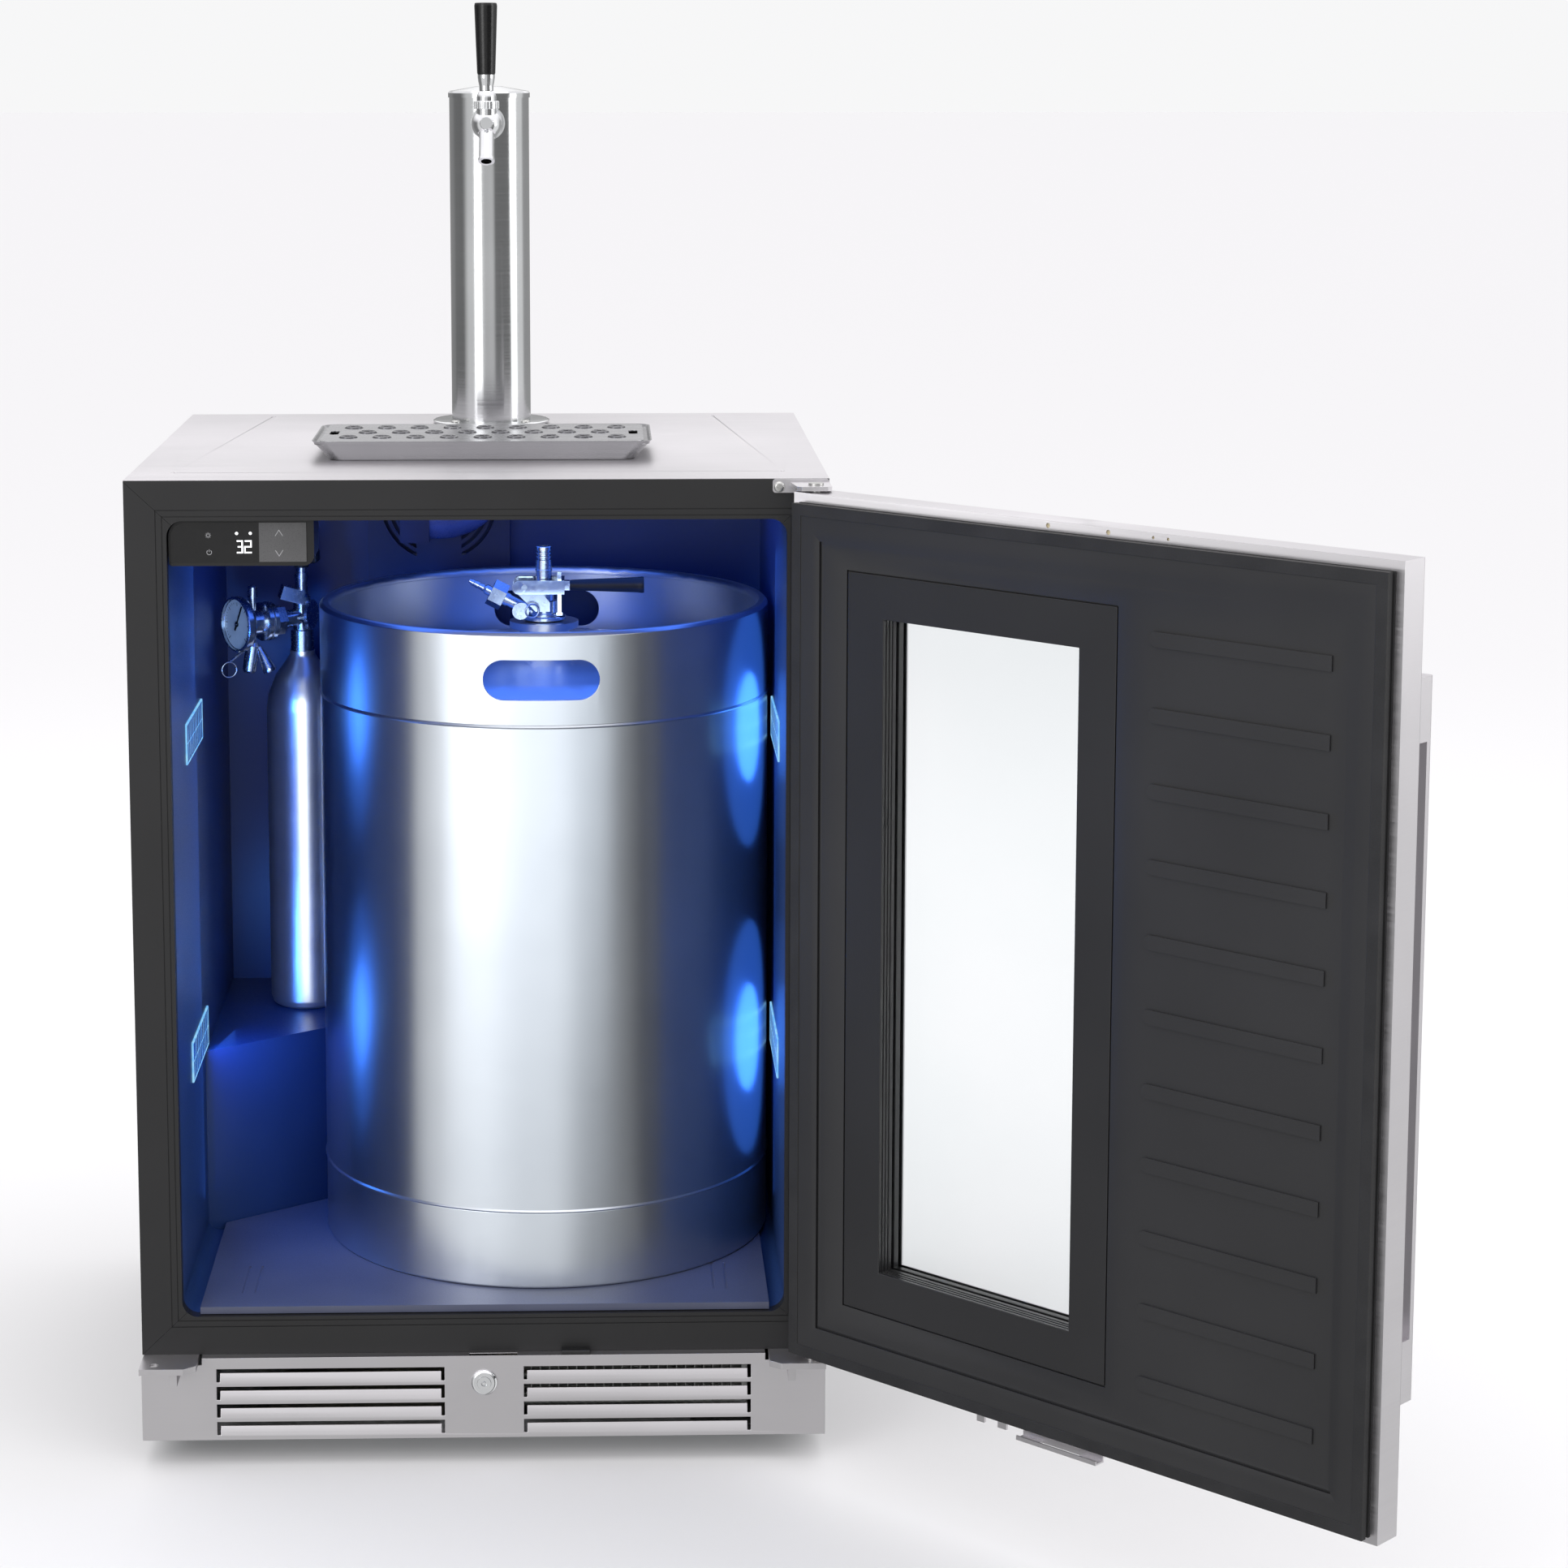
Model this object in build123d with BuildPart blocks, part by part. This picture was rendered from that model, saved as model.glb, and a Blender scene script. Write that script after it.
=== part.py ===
"""Kegerator: a free-standing keg cooler with an open door, a draft tower, a keg and a gas bottle.

X runs across the front, Y from the front face towards the back and Z up from the floor.
The origin is on the floor, midway between the sides, in the plane of the front face.
"""
import math
import os

from build123d import *

os.makedirs("parts", exist_ok=True)

# ---------------------------------------------------------------- cabinet
WIDTH = 595.0
HALF = WIDTH / 2
DEPTH = 544.0
HEIGHT = 864.0
SHEET = 1.2
FOOT_TOP = 22.5
FRAME_BOTTOM = 97.0
FRAME_DEPTH = 12.0
FRAME_LIP = 1.5
BEAD_OUT = 9.4
BEAD_IN = 4.0
CAVITY_HALF = 262.0
CAVITY_FLOOR = 131.0
CAVITY_CEILING = 829.5
CAVITY_BACK = 490.0
CAVITY_CORNER = 14.0
LINER = 2.0
FOAM_FLOOR = 100.0
RAIL_FRONT = (260.0, 54.0)
RAIL_REAR = (215.7, 519.0)
RAIL_HOLE = 2.5

# ---------------------------------------------------------------- keg and gas bottle
KEG_X, KEG_Y, KEG_R = 52.5, 248.0, 205.0
KEG_BASE = 138.3
KEG_SEAM_LOW = 207.0
KEG_SEAM_HIGH = 644.0
KEG_RIM = 725.0
KEG_WALL = 2.5
KEG_NECK = 704.0
PLATE_TOP = 138.0
PLATE_THICK = 6.4
HUMP_TOP = 305.0
HUMP_CLEAR = 9.8
BOTTLE_X, BOTTLE_Y, BOTTLE_R = -181.0, 398.0, 35.0
BOTTLE_BASE = HUMP_TOP + 0.3
REG_Z = 684.0

# ---------------------------------------------------------------- door, drawn closed and swung open
HINGE_X, HINGE_Y = 284.6, -26.0
OPEN_ANGLE = 135.0
DOOR_BOTTOM, DOOR_TOP = 103.4, 855.9
DOOR_INNER, DOOR_OUTER = -13.0, -41.0
LINER_FACE = -2.5
GASKET_FACE = -2.0
GASKET_IN, GASKET_OUT = 17.0, 7.0
DOOR_SHEET = 1.5
BEZEL = (65.0, 341.0, 164.5, 795.5)
GLASS = (103.6, 304.5, 201.0, 759.0)
PANE_EDGE = 5.0
PANE = 4.0
INNER_PANE, OUTER_PANE = -28.5, -38.5
HANDLE_LOW, HANDLE_HIGH = 193.0, 760.0
HANDLE_POST = 50.0
HANDLE_REACH = 48.0
HANDLE_WIDTH = 25.0
HANDLE_EDGE = 20.0

# ---------------------------------------------------------------- tower, tray and tap
TOWER_Y = 457.0
TOWER_R = 38.0
TOWER_TOP = 1187.0
DUCT_Y = 449.0
DUCT_R = 20.0
DUCT_BEND = 50.0
DUCT_Z = 772.0
TAP_Y, TAP_Z = 372.0, 1153.0
TAP_PIVOT = 1177.0
TAP_TILT = 30.0
TRAY_Y, TRAY_Z = 210.0, HEIGHT + 0.3
TRAY_RIM = 881.0

# ---------------------------------------------------------------- lock
LOCK_Z = 73.0
KICK_FRONT = -10.0
CAM_REACH = 29.0

# ---------------------------------------------------------------- fan and evaporator
FAN_X, FAN_Z = -52.5, 783.5
COVER_FRONT = 472.0


def finish(piece, label):
    """Label a finished piece and write its STEP file."""
    piece.part.label = label
    export_step(piece.part, f"parts/{label}.step")


def facing(y):
    """A plane at depth y that faces the front: sketch x is X and sketch y is Z."""
    return Plane.XZ.offset(-y)


def block(x0, x1, y0, y1, z0, z1, mode=Mode.ADD):
    """A box given by its limits, in the current part."""
    with Locations(((x0 + x1) / 2, (y0 + y1) / 2, (z0 + z1) / 2)):
        Box(x1 - x0, y1 - y0, z1 - z0, mode=mode)


def rod(base, direction, radius, length, mode=Mode.ADD):
    """A cylinder that starts at base and runs along direction."""
    with Locations(Plane(origin=base, z_dir=direction)):
        Cylinder(radius, length, align=(Align.CENTER, Align.CENTER, Align.MIN), mode=mode)


def lathe(outline, base, direction=(0, 0, 1), mode=Mode.ADD):
    """Revolve an outline of (radius, distance) points about an axis through base."""
    axis_plane = Plane(origin=base, z_dir=direction)
    section = Plane(origin=base, x_dir=axis_plane.x_dir, z_dir=-axis_plane.y_dir)
    with BuildSketch(section) as profile:
        with BuildLine():
            Polyline(*outline, close=True)
        make_face()
    revolve(profile.sketch, axis=Axis(base, direction), mode=mode)


def hex_nut(base, direction, across_corners, length):
    """A hexagonal prism that starts at base and runs along direction."""
    with BuildSketch(Plane(origin=base, z_dir=direction)) as hexagon:
        RegularPolygon(across_corners / 2, 6)
    extrude(hexagon.sketch, amount=length)


# ================================================================ cabinet shell
with BuildPart() as side_panels:
    for side in (-1, 1):
        inner, outer = sorted((side * (HALF - SHEET), side * HALF))
        block(inner, outer, FRAME_DEPTH, DEPTH, FOOT_TOP, HEIGHT - SHEET)
finish(side_panels, "side_panels")

BOLT_ANGLES = [math.radians(a) for a in (45, 135, 225, 315)]
TOWER_BOLTS = [(47 * math.cos(a), TOWER_Y + 47 * math.sin(a)) for a in BOLT_ANGLES]
RAIL_HOLES = [(s * x, y) for s in (-1, 1) for x, y in (RAIL_FRONT, RAIL_REAR)]

with BuildPart() as top_panel:
    block(-HALF, HALF, FRAME_LIP, DEPTH, HEIGHT - SHEET, HEIGHT)
    with BuildSketch(Plane.XY.offset(HEIGHT)):
        with Locations(*RAIL_HOLES):
            Circle(RAIL_HOLE)
        with Locations(*TOWER_BOLTS):
            Circle(2.2)
        with Locations((0, DUCT_Y)):
            Circle(DUCT_R + 0.5)
    extrude(amount=-SHEET, mode=Mode.SUBTRACT)
finish(top_panel, "top_panel")

REAR_SPLIT = 300.0
INLET_X, INLET_Z = 200.0, 62.0
with BuildPart() as rear_panels:
    block(-HALF + SHEET, HALF - SHEET, DEPTH - SHEET, DEPTH, REAR_SPLIT + 0.6, HEIGHT - SHEET)
    block(-HALF + SHEET, HALF - SHEET, DEPTH - SHEET, DEPTH, FOOT_TOP, REAR_SPLIT)
    with BuildSketch(facing(DEPTH)):
        with Locations((-185, 190)):
            with GridLocations(60, 18, 3, 8):
                SlotOverall(46, 6)
        with Locations((INLET_X, INLET_Z)):
            Rectangle(28.4, 24.4)
    extrude(amount=SHEET, mode=Mode.SUBTRACT)
finish(rear_panels, "rear_panels")

with BuildPart() as power_inlet:
    block(INLET_X - 25, INLET_X + 25, DEPTH, DEPTH + 3, INLET_Z - 15, INLET_Z + 15)
    block(INLET_X - 14, INLET_X + 14, DEPTH - 24, DEPTH, INLET_Z - 12, INLET_Z + 12)
    block(INLET_X - 12, INLET_X + 12, DEPTH - 16, DEPTH + 3, INLET_Z - 8, INLET_Z + 8, Mode.SUBTRACT)
    for pin in (-7, 0, 7):
        rise = 3 if pin == 0 else 0
        block(INLET_X + pin - 1, INLET_X + pin + 1, DEPTH - 16, DEPTH - 1, INLET_Z + rise - 3, INLET_Z + rise + 1)
finish(power_inlet, "power_inlet")

FEET = [(sx * 252.0, y) for sx in (-1, 1) for y in (75.0, 500.0)]
with BuildPart() as base_pan:
    block(-HALF + SHEET, HALF - SHEET, FRAME_DEPTH, DEPTH - SHEET, FOOT_TOP, FOOT_TOP + 1.5)
    with BuildSketch(Plane.XY.offset(FOOT_TOP)):
        with Locations(*FEET):
            Circle(5.1)
        with GridLocations(44, 60, 6, 2):
            with Locations((0, 230)):
                SlotOverall(30, 8)
    extrude(amount=1.5, mode=Mode.SUBTRACT)
    for wall_y in (FRAME_DEPTH, DEPTH - SHEET - 1.5):
        block(-240, 180, wall_y, wall_y + 1.5, FOOT_TOP + 1.5, FOOT_TOP + 10)
finish(base_pan, "base_pan")

with BuildPart() as levelling_feet:
    for x, y in FEET:
        lathe([(0, 0), (18, 0), (19, 3), (16, 8), (9, 11), (0, 11)], (x, y, 0))
        rod((x, y, 11), (0, 0, 1), 5.0, 30)
        hex_nut((x, y, FOOT_TOP + 1.5), (0, 0, 1), 18, 6)
finish(levelling_feet, "levelling_feet")


# ================================================================ inner liner, hump and foam
def hump_prism(low, high, shrink):
    """A prism on the hump's plan: a slanted front, an arc that follows the keg and a straight right side."""
    reach = KEG_R + HUMP_CLEAR + shrink
    start, middle, end = (math.radians(a) for a in (164.1, 144.5, 125.0))
    arc = [(KEG_X + reach * math.cos(a), KEG_Y + reach * math.sin(a)) for a in (start, middle, end)]
    slope = 72.0 / 94.0
    left, back = -HALF - 60, DEPTH + 60
    with BuildPart() as prism:
        with BuildSketch(Plane.XY.offset(low)):
            with BuildLine():
                Polyline((arc[2][0], back), (left, back), (left, arc[0][1] + (left - arc[0][0]) * slope), arc[0])
                ThreePointArc(*arc)
                Line(arc[2], (arc[2][0], back))
            make_face()
        extrude(amount=high - low)
    return prism.part


CAVITY_MID = (CAVITY_FLOOR + CAVITY_CEILING) / 2
CAVITY_TALL = CAVITY_CEILING - CAVITY_FLOOR


def tub(y1, grow):
    """The rounded box of the cavity from behind the frame back to y1, grown outwards all round."""
    with BuildPart() as box:
        with BuildSketch(facing(FRAME_DEPTH)):
            with Locations((0, CAVITY_MID)):
                RectangleRounded(2 * (CAVITY_HALF + grow), CAVITY_TALL + 2 * grow, CAVITY_CORNER + grow)
        extrude(amount=FRAME_DEPTH - y1)
    return box.part


FLANGE = 22.0
hump_block = hump_prism(CAVITY_FLOOR - LINER, HUMP_TOP, 0) & tub(CAVITY_BACK + LINER, LINER)
hump_hollow = hump_prism(CAVITY_FLOOR - 60, HUMP_TOP - LINER, LINER)
machine_bay = hump_prism(FOAM_FLOOR - 5, HUMP_TOP - 28, 30)

with BuildPart() as inner_liner:
    with BuildSketch(facing(FRAME_DEPTH)):
        with Locations((0, CAVITY_MID)):
            Rectangle(2 * (CAVITY_HALF + FLANGE), CAVITY_TALL + 2 * FLANGE)
    extrude(amount=-LINER)
    add(tub(CAVITY_BACK + LINER, LINER))
    add(tub(CAVITY_BACK, 0), mode=Mode.SUBTRACT)
    add(hump_block)
    add(hump_hollow, mode=Mode.SUBTRACT)
    rod((0, DUCT_Y, CAVITY_CEILING - 5), (0, 0, 1), DUCT_R + 0.1, 20, Mode.SUBTRACT)
finish(inner_liner, "inner_liner")

liner_space = tub(CAVITY_BACK + LINER, LINER) - hump_hollow
with BuildPart() as foam_insulation:
    block(-HALF + SHEET, HALF - SHEET, FRAME_DEPTH + LINER, DEPTH - SHEET, FOAM_FLOOR, HEIGHT - SHEET)
    add(liner_space, mode=Mode.SUBTRACT)
    add(machine_bay, mode=Mode.SUBTRACT)
    rod((0, DUCT_Y, CAVITY_CEILING - 5), (0, 0, 1), DUCT_R + 0.1, 60, Mode.SUBTRACT)
    for x, y in RAIL_HOLES + TOWER_BOLTS:
        rod((x, y, HEIGHT - SHEET), (0, 0, -1), 6, 18, Mode.SUBTRACT)
finish(foam_insulation, "foam_insulation")

# ================================================================ front frame, mitred at its corners
OUTER_TOP = HEIGHT - SHEET
FRAME_MID = (FRAME_BOTTOM + OUTER_TOP) / 2
FRAME_TALL = OUTER_TOP - FRAME_BOTTOM
with BuildPart() as front_frame:
    with BuildSketch(facing(0)):
        with Locations((0, FRAME_MID)):
            Rectangle(WIDTH, FRAME_TALL)
        with Locations((0, CAVITY_MID)):
            RectangleRounded(2 * CAVITY_HALF, CAVITY_TALL, CAVITY_CORNER, mode=Mode.SUBTRACT)
    extrude(amount=-FRAME_DEPTH)
    with BuildSketch(facing(0)):
        for bead in (BEAD_OUT, BEAD_IN):
            with Locations((0, CAVITY_MID)):
                Rectangle(2 * (CAVITY_HALF + bead), CAVITY_TALL + 2 * bead)
                Rectangle(2 * (CAVITY_HALF + bead - 0.9), CAVITY_TALL + 2 * bead - 1.8, mode=Mode.SUBTRACT)
    extrude(amount=-0.8, mode=Mode.SUBTRACT)
    block(-HALF, HALF, 0, FRAME_LIP, OUTER_TOP, HEIGHT - 0.4)
    for side in (-1, 1):
        for outer, inner in ((OUTER_TOP, CAVITY_CEILING), (FRAME_BOTTOM, CAVITY_FLOOR)):
            run = side * (CAVITY_HALF - HALF)
            rise = inner - outer
            middle = (side * (HALF + CAVITY_HALF) / 2, FRAME_DEPTH / 2, (outer + inner) / 2)
            with Locations(Plane(origin=middle, x_dir=(run, 0, rise), z_dir=(0, -1, 0))):
                Box(80, 0.2, 2 * FRAME_DEPTH, mode=Mode.SUBTRACT)
finish(front_frame, "front_frame")

# ================================================================ kick plate and lock
SLOT_TOPS = (86.9, 70.9, 54.9, 38.9)
SLOT_TALL = 4.3
SLOT_LEG = 7.7
SLOT_LEG_WIDE = 3.0
BANKS = ((-232.5, -34.5), (34.5, 232.5))
KICK_BACK = KICK_FRONT + SHEET
STRIKE_SLOT = (-13.0, 29.0, -8.0, -3.2)
BRACKET_IN = 247.0
with BuildPart() as kick_plate:
    block(-HALF, HALF, KICK_FRONT, KICK_BACK, FOOT_TOP, FRAME_BOTTOM)
    block(-HALF, HALF, KICK_FRONT, 0, FRAME_BOTTOM - SHEET, FRAME_BOTTOM)
    block(-HALF, HALF, KICK_FRONT, FRAME_DEPTH, FOOT_TOP, FOOT_TOP + SHEET)
    for side in (-1, 1):
        x0, x1 = sorted((side * HALF, side * (HALF - SHEET)))
        block(x0, x1, KICK_FRONT, FRAME_DEPTH, FOOT_TOP, FRAME_BOTTOM)
        x0, x1 = sorted((side * (BRACKET_IN - 2), side * (HALF + 1)))
        block(x0, x1, KICK_FRONT - 1, FRAME_DEPTH + 1, FRAME_BOTTOM - 6.2, FRAME_BOTTOM + 1, Mode.SUBTRACT)
    for left, right in BANKS:
        for top in SLOT_TOPS:
            block(left, right, KICK_FRONT - 1, KICK_BACK + 1, top - SLOT_TALL - SLOT_LEG, top, Mode.SUBTRACT)
            with BuildSketch(Plane.YZ.offset(left + SLOT_LEG_WIDE)) as louvre:
                with BuildLine():
                    Polyline(
                        (KICK_FRONT, top - SLOT_TALL - SLOT_LEG), (KICK_FRONT + 2.6, top - SLOT_TALL),
                        (KICK_FRONT + 2.6 + SHEET, top - SLOT_TALL), (KICK_BACK, top - SLOT_TALL - SLOT_LEG), close=True,
                    )
                make_face()
            extrude(louvre.sketch, amount=right - left - 2 * SLOT_LEG_WIDE)
    block(*STRIKE_SLOT, FRAME_BOTTOM - 3, FRAME_BOTTOM + 1, Mode.SUBTRACT)
    rod((0, KICK_FRONT - 1, LOCK_Z), (0, 1, 0), 8.0, 4, Mode.SUBTRACT)
finish(kick_plate, "kick_plate")

with BuildPart() as lock_housing:
    lathe([(6.0, 0), (6.0, 6.2), (7.9, 6.2), (7.9, 3.2), (11.3, 3.2), (11.3, 1.6), (9.6, 0.2), (8.8, 0)],
          (0, KICK_FRONT - 3.2, LOCK_Z), (0, 1, 0))
finish(lock_housing, "lock_housing")

CAM_Y = KICK_FRONT + 3.4
with BuildPart() as lock_cylinder:
    rod((0, KICK_FRONT - 3.7, LOCK_Z), (0, 1, 0), 5.94, CAM_Y - KICK_FRONT + 3.7)
    rod((0, KICK_FRONT - 3.7, LOCK_Z), (0, 1, 0), 2.6, 2.2, Mode.SUBTRACT)
    rod((0, KICK_FRONT - 3.7, LOCK_Z), (0, 1, 0), 1.3, 2.4)
    with BuildSketch(facing(CAM_Y)) as cam:
        with Locations((0, LOCK_Z)):
            Circle(6.5)
        with Locations((CAM_REACH / 2 - 2, LOCK_Z)):
            Rectangle(CAM_REACH - 7, 11)
        with Locations((CAM_REACH - 5.5, LOCK_Z)):
            Circle(5.5)
    extrude(cam.sketch, amount=-2.2)
finish(lock_cylinder, "lock_cylinder")

with BuildPart() as door_switch:
    block(67.5, 92, -9.6, -0.2, FRAME_BOTTOM, FRAME_BOTTOM + 3.6)
    fillet(door_switch.edges().filter_by(Axis.X).group_by(Axis.Y)[0], radius=1)
finish(door_switch, "door_switch")

# ================================================================ hinge brackets, pins and screws
PIN_R = 4.0
BUSH_BORE = 4.05
with BuildPart() as hinge_brackets_lower:
    for side in (-1, 1):
        with BuildSketch(Plane.XY.offset(FRAME_BOTTOM - 5.5)) as outside:
            with BuildLine():
                Polyline((side * 248, 40), (side * 248, -28), (side * 258, -36), (side * 296.5, -36),
                         (side * 296.5, -8), (side * 294, 40), close=True)
            make_face()
        extrude(outside.sketch, amount=5.5)
        with BuildSketch(Plane.XY.offset(FRAME_BOTTOM - 5.5)) as inside:
            with BuildLine():
                Polyline((side * 250, 41), (side * 250, -27), (side * 259, -34), (side * 294.5, -34),
                         (side * 294.5, -8), (side * 292, 41), close=True)
            make_face()
        extrude(inside.sketch, amount=3.5, mode=Mode.SUBTRACT)
        x0, x1 = sorted((side * 264, side * 270.5))
        block(x0, x1, -33.8, -11.6, FRAME_BOTTOM - 16.5, FRAME_BOTTOM - 2)
        rod((side * HINGE_X, HINGE_Y, FRAME_BOTTOM - 3), (0, 0, 1), PIN_R, 4, Mode.SUBTRACT)
        for y in (10, 28):
            rod((side * 262, y, FRAME_BOTTOM - 3), (0, 0, 1), 2.1, 4, Mode.SUBTRACT)
finish(hinge_brackets_lower, "hinge_brackets_lower")

BRACKET_PLATE = 857.6
with BuildPart() as hinge_bracket_upper:
    with BuildSketch(facing(0)):
        with Locations((273.5, 857.8)):
            RectangleRounded(48, 11.6, 2.6)
    extrude(amount=2)
    with BuildSketch(Plane.XY.offset(BRACKET_PLATE)):
        with BuildLine():
            Polyline((264, -1), (268, -34), (272, -38), (294, -38), (297.5, -34), (297.5, -1), close=True)
        make_face()
    extrude(amount=3.6)
    rod((HINGE_X, HINGE_Y, BRACKET_PLATE - 1), (0, 0, 1), PIN_R, 8, Mode.SUBTRACT)
    rod((255, 1, 857), (0, -1, 0), 2.1, 4, Mode.SUBTRACT)
finish(hinge_bracket_upper, "hinge_bracket_upper")

with BuildPart() as hinge_pins:
    rod((HINGE_X, HINGE_Y, BRACKET_PLATE + 5), (0, 0, -1), PIN_R, 21)
    rod((HINGE_X, HINGE_Y, BRACKET_PLATE + 3.6), (0, 0, 1), 6.5, 2.0)
    rod((HINGE_X, HINGE_Y, FRAME_BOTTOM - 4.5), (0, 0, 1), PIN_R, 22)
    rod((HINGE_X, HINGE_Y, FRAME_BOTTOM - 4.5), (0, 0, 1), 6.0, 2.5)
finish(hinge_pins, "hinge_pins")


def cross_screw(base, direction, radius, shank):
    """A pan-head cross-recess screw whose head's underside is at base; direction points out of the head."""
    x, y, z = base
    dx, dy, dz = direction
    rod(base, (-dx, -dy, -dz), 2.0, shank)
    lathe([(0, 0), (radius, 0), (radius, 0.9), (radius * 0.72, 2.1), (0, 2.4)], base, direction)
    tip = (x + 2.4 * dx, y + 2.4 * dy, z + 2.4 * dz)
    with Locations(Plane(origin=tip, z_dir=direction)):
        Box(radius * 1.1, radius * 0.28, 2.4, mode=Mode.SUBTRACT)
        Box(radius * 0.28, radius * 1.1, 2.4, mode=Mode.SUBTRACT)


with BuildPart() as cross_screws:
    cross_screw((255, -2, 857), (0, -1, 0), 4.6, 2.0)
    for side in (-1, 1):
        for y in (10, 28):
            cross_screw((side * 262, y, FRAME_BOTTOM - 2), (0, 0, -1), 4.0, 2.0)
    for x, y in TOWER_BOLTS:
        cross_screw((x, y, HEIGHT + 4), (0, 0, 1), 4.2, 9.0)
finish(cross_screws, "cross_screws")

# ================================================================ refrigeration
COMP_X, COMP_Y = -192.0, 456.0
with BuildPart() as compressor:
    lathe([(0, 12), (46, 12), (57, 22), (58, 60), (58, 120), (54, 142), (38, 156), (0, 160)],
          (COMP_X, COMP_Y, FOOT_TOP + 1.5))
    block(COMP_X - 49, COMP_X + 66, COMP_Y - 46, COMP_Y + 46, FOOT_TOP + 11.5, FOOT_TOP + 15)
    block(COMP_X + 50, COMP_X + 78, COMP_Y - 24, COMP_Y + 24, FOOT_TOP + 50, FOOT_TOP + 98)
    rod((COMP_X + 30, COMP_Y + 38, FOOT_TOP + 110), (0, 0, 1), 4.0, 62)
    for x in (COMP_X - 40, COMP_X + 56):
        for y in (COMP_Y - 36, COMP_Y + 36):
            lathe([(0, 0), (9, 0), (7, 5), (9, 10.5), (0, 10.5)], (x, y, FOOT_TOP + 1.5))
finish(compressor, "compressor")

COIL_X0, COIL_X1 = 10.0, 226.0
with BuildPart() as condenser_coil:
    for y in (34.0, 52.0, 70.0):
        for z in (38.0, 56.0, 74.0):
            rod((COIL_X0, y, z), (1, 0, 0), 3.5, COIL_X1 - COIL_X0)
    for x in range(16, 224, 8):
        block(x, x + 0.8, 26, 78, 30, 82)
    for y in (34.0, 52.0, 70.0):
        block(COIL_X0 - 5, COIL_X0, y - 3.5, y + 3.5, 34.5, 77.5)
        block(COIL_X1, COIL_X1 + 5, y - 3.5, y + 3.5, 34.5, 77.5)
finish(condenser_coil, "condenser_coil")

COOL_X, COOL_Y, COOL_Z = 118.0, 84.0, 60.0
with BuildPart() as fan_motors:
    lathe([(0, 0), (16, 0), (16, 5.5), (1.95, 5.5), (1.95, 13), (0, 13)], (FAN_X, CAVITY_BACK, FAN_Z), (0, -1, 0))
    with BuildSketch(facing(COOL_Y)):
        with Locations((COOL_X, COOL_Z)):
            RectangleRounded(70, 70, 5)
            Circle(31.5, mode=Mode.SUBTRACT)
    extrude(amount=-20)
    with BuildSketch(facing(COOL_Y + 20)):
        with Locations((COOL_X, COOL_Z)):
            Circle(15)
            Rectangle(4, 66)
            Rectangle(66, 4)
    extrude(amount=3)
    rod((COOL_X, COOL_Y + 18, COOL_Z), (0, -1, 0), 1.95, 8)
finish(fan_motors, "fan_motors")


def axial_fan(x, y, z, hub, reach, depth, blades):
    """A hub with pitched blades on an axis along Y, bored for its shaft; its front face is at y."""
    middle = (hub - 3 + reach) / 2
    for n in range(blades):
        angle = 2 * math.pi * n / blades
        out = (math.cos(angle), 0, math.sin(angle))
        centre = (x + middle * out[0], y + depth / 2, z + middle * out[2])
        pitch = math.radians(34)
        normal = (-math.sin(angle) * math.sin(pitch), -math.cos(pitch), math.cos(angle) * math.sin(pitch))
        with Locations(Plane(origin=centre, x_dir=out, z_dir=normal)):
            Box(reach - hub + 3, depth * 1.25, 1.2)
    rod((x, y, z), (0, 1, 0), hub, depth)
    rod((x, y - 1, z), (0, 1, 0), 2.0, depth + 2, Mode.SUBTRACT)


with BuildPart() as condenser_fan:
    axial_fan(COOL_X, COOL_Y + 3, COOL_Z, 14, 29.5, 12, 7)
finish(condenser_fan, "condenser_fan")

with BuildPart() as evaporator_cover:
    x0, x1 = FAN_X - 69, FAN_X + 69
    block(x0, x1, COVER_FRONT, CAVITY_BACK, 600, CAVITY_CEILING)
    block(x0 + 2, x1 - 2, COVER_FRONT + 2, CAVITY_BACK + 1, 602, CAVITY_CEILING - 2, Mode.SUBTRACT)
    with BuildSketch(facing(COVER_FRONT)) as slots:
        with Locations((FAN_X, FAN_Z)):
            for ring in (40, 33, 26, 19):
                Circle(ring + 16.2)
                Circle(ring + 12.8, mode=Mode.SUBTRACT)
            Rectangle(300, 9, mode=Mode.SUBTRACT)
            Rectangle(44, 300, mode=Mode.SUBTRACT)
        with Locations((FAN_X, CAVITY_CEILING + 42)):
            Rectangle(200, 100, mode=Mode.SUBTRACT)
    extrude(slots.sketch, amount=-3, mode=Mode.SUBTRACT)
    block(-88, -60, 425, COVER_FRONT, 751, 796)
    block(-86, -62, 427, COVER_FRONT + 3, 753, 794, Mode.SUBTRACT)
    rod((-70, DUCT_Y, DUCT_Z), (1, 0, 0), DUCT_R - 2, 15, Mode.SUBTRACT)
finish(evaporator_cover, "evaporator_cover")

with BuildPart() as evaporator_fan:
    axial_fan(FAN_X, CAVITY_BACK - 13.5, FAN_Z, 13, 40, 7, 9)
finish(evaporator_fan, "evaporator_fan")

with BuildPart() as evaporator_coil:
    block(FAN_X - 62, FAN_X + 62, CAVITY_BACK - 3, CAVITY_BACK, 610, 732)
    for z in range(614, 730, 6):
        block(FAN_X - 62, FAN_X + 62, COVER_FRONT + 4, CAVITY_BACK - 3, z, z + 0.8)
    for x in (FAN_X - 50, FAN_X - 17, FAN_X + 17, FAN_X + 50):
        rod((x, CAVITY_BACK - 8.5, 607), (0, 0, 1), 3.5, 126)
finish(evaporator_coil, "evaporator_coil")

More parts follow.
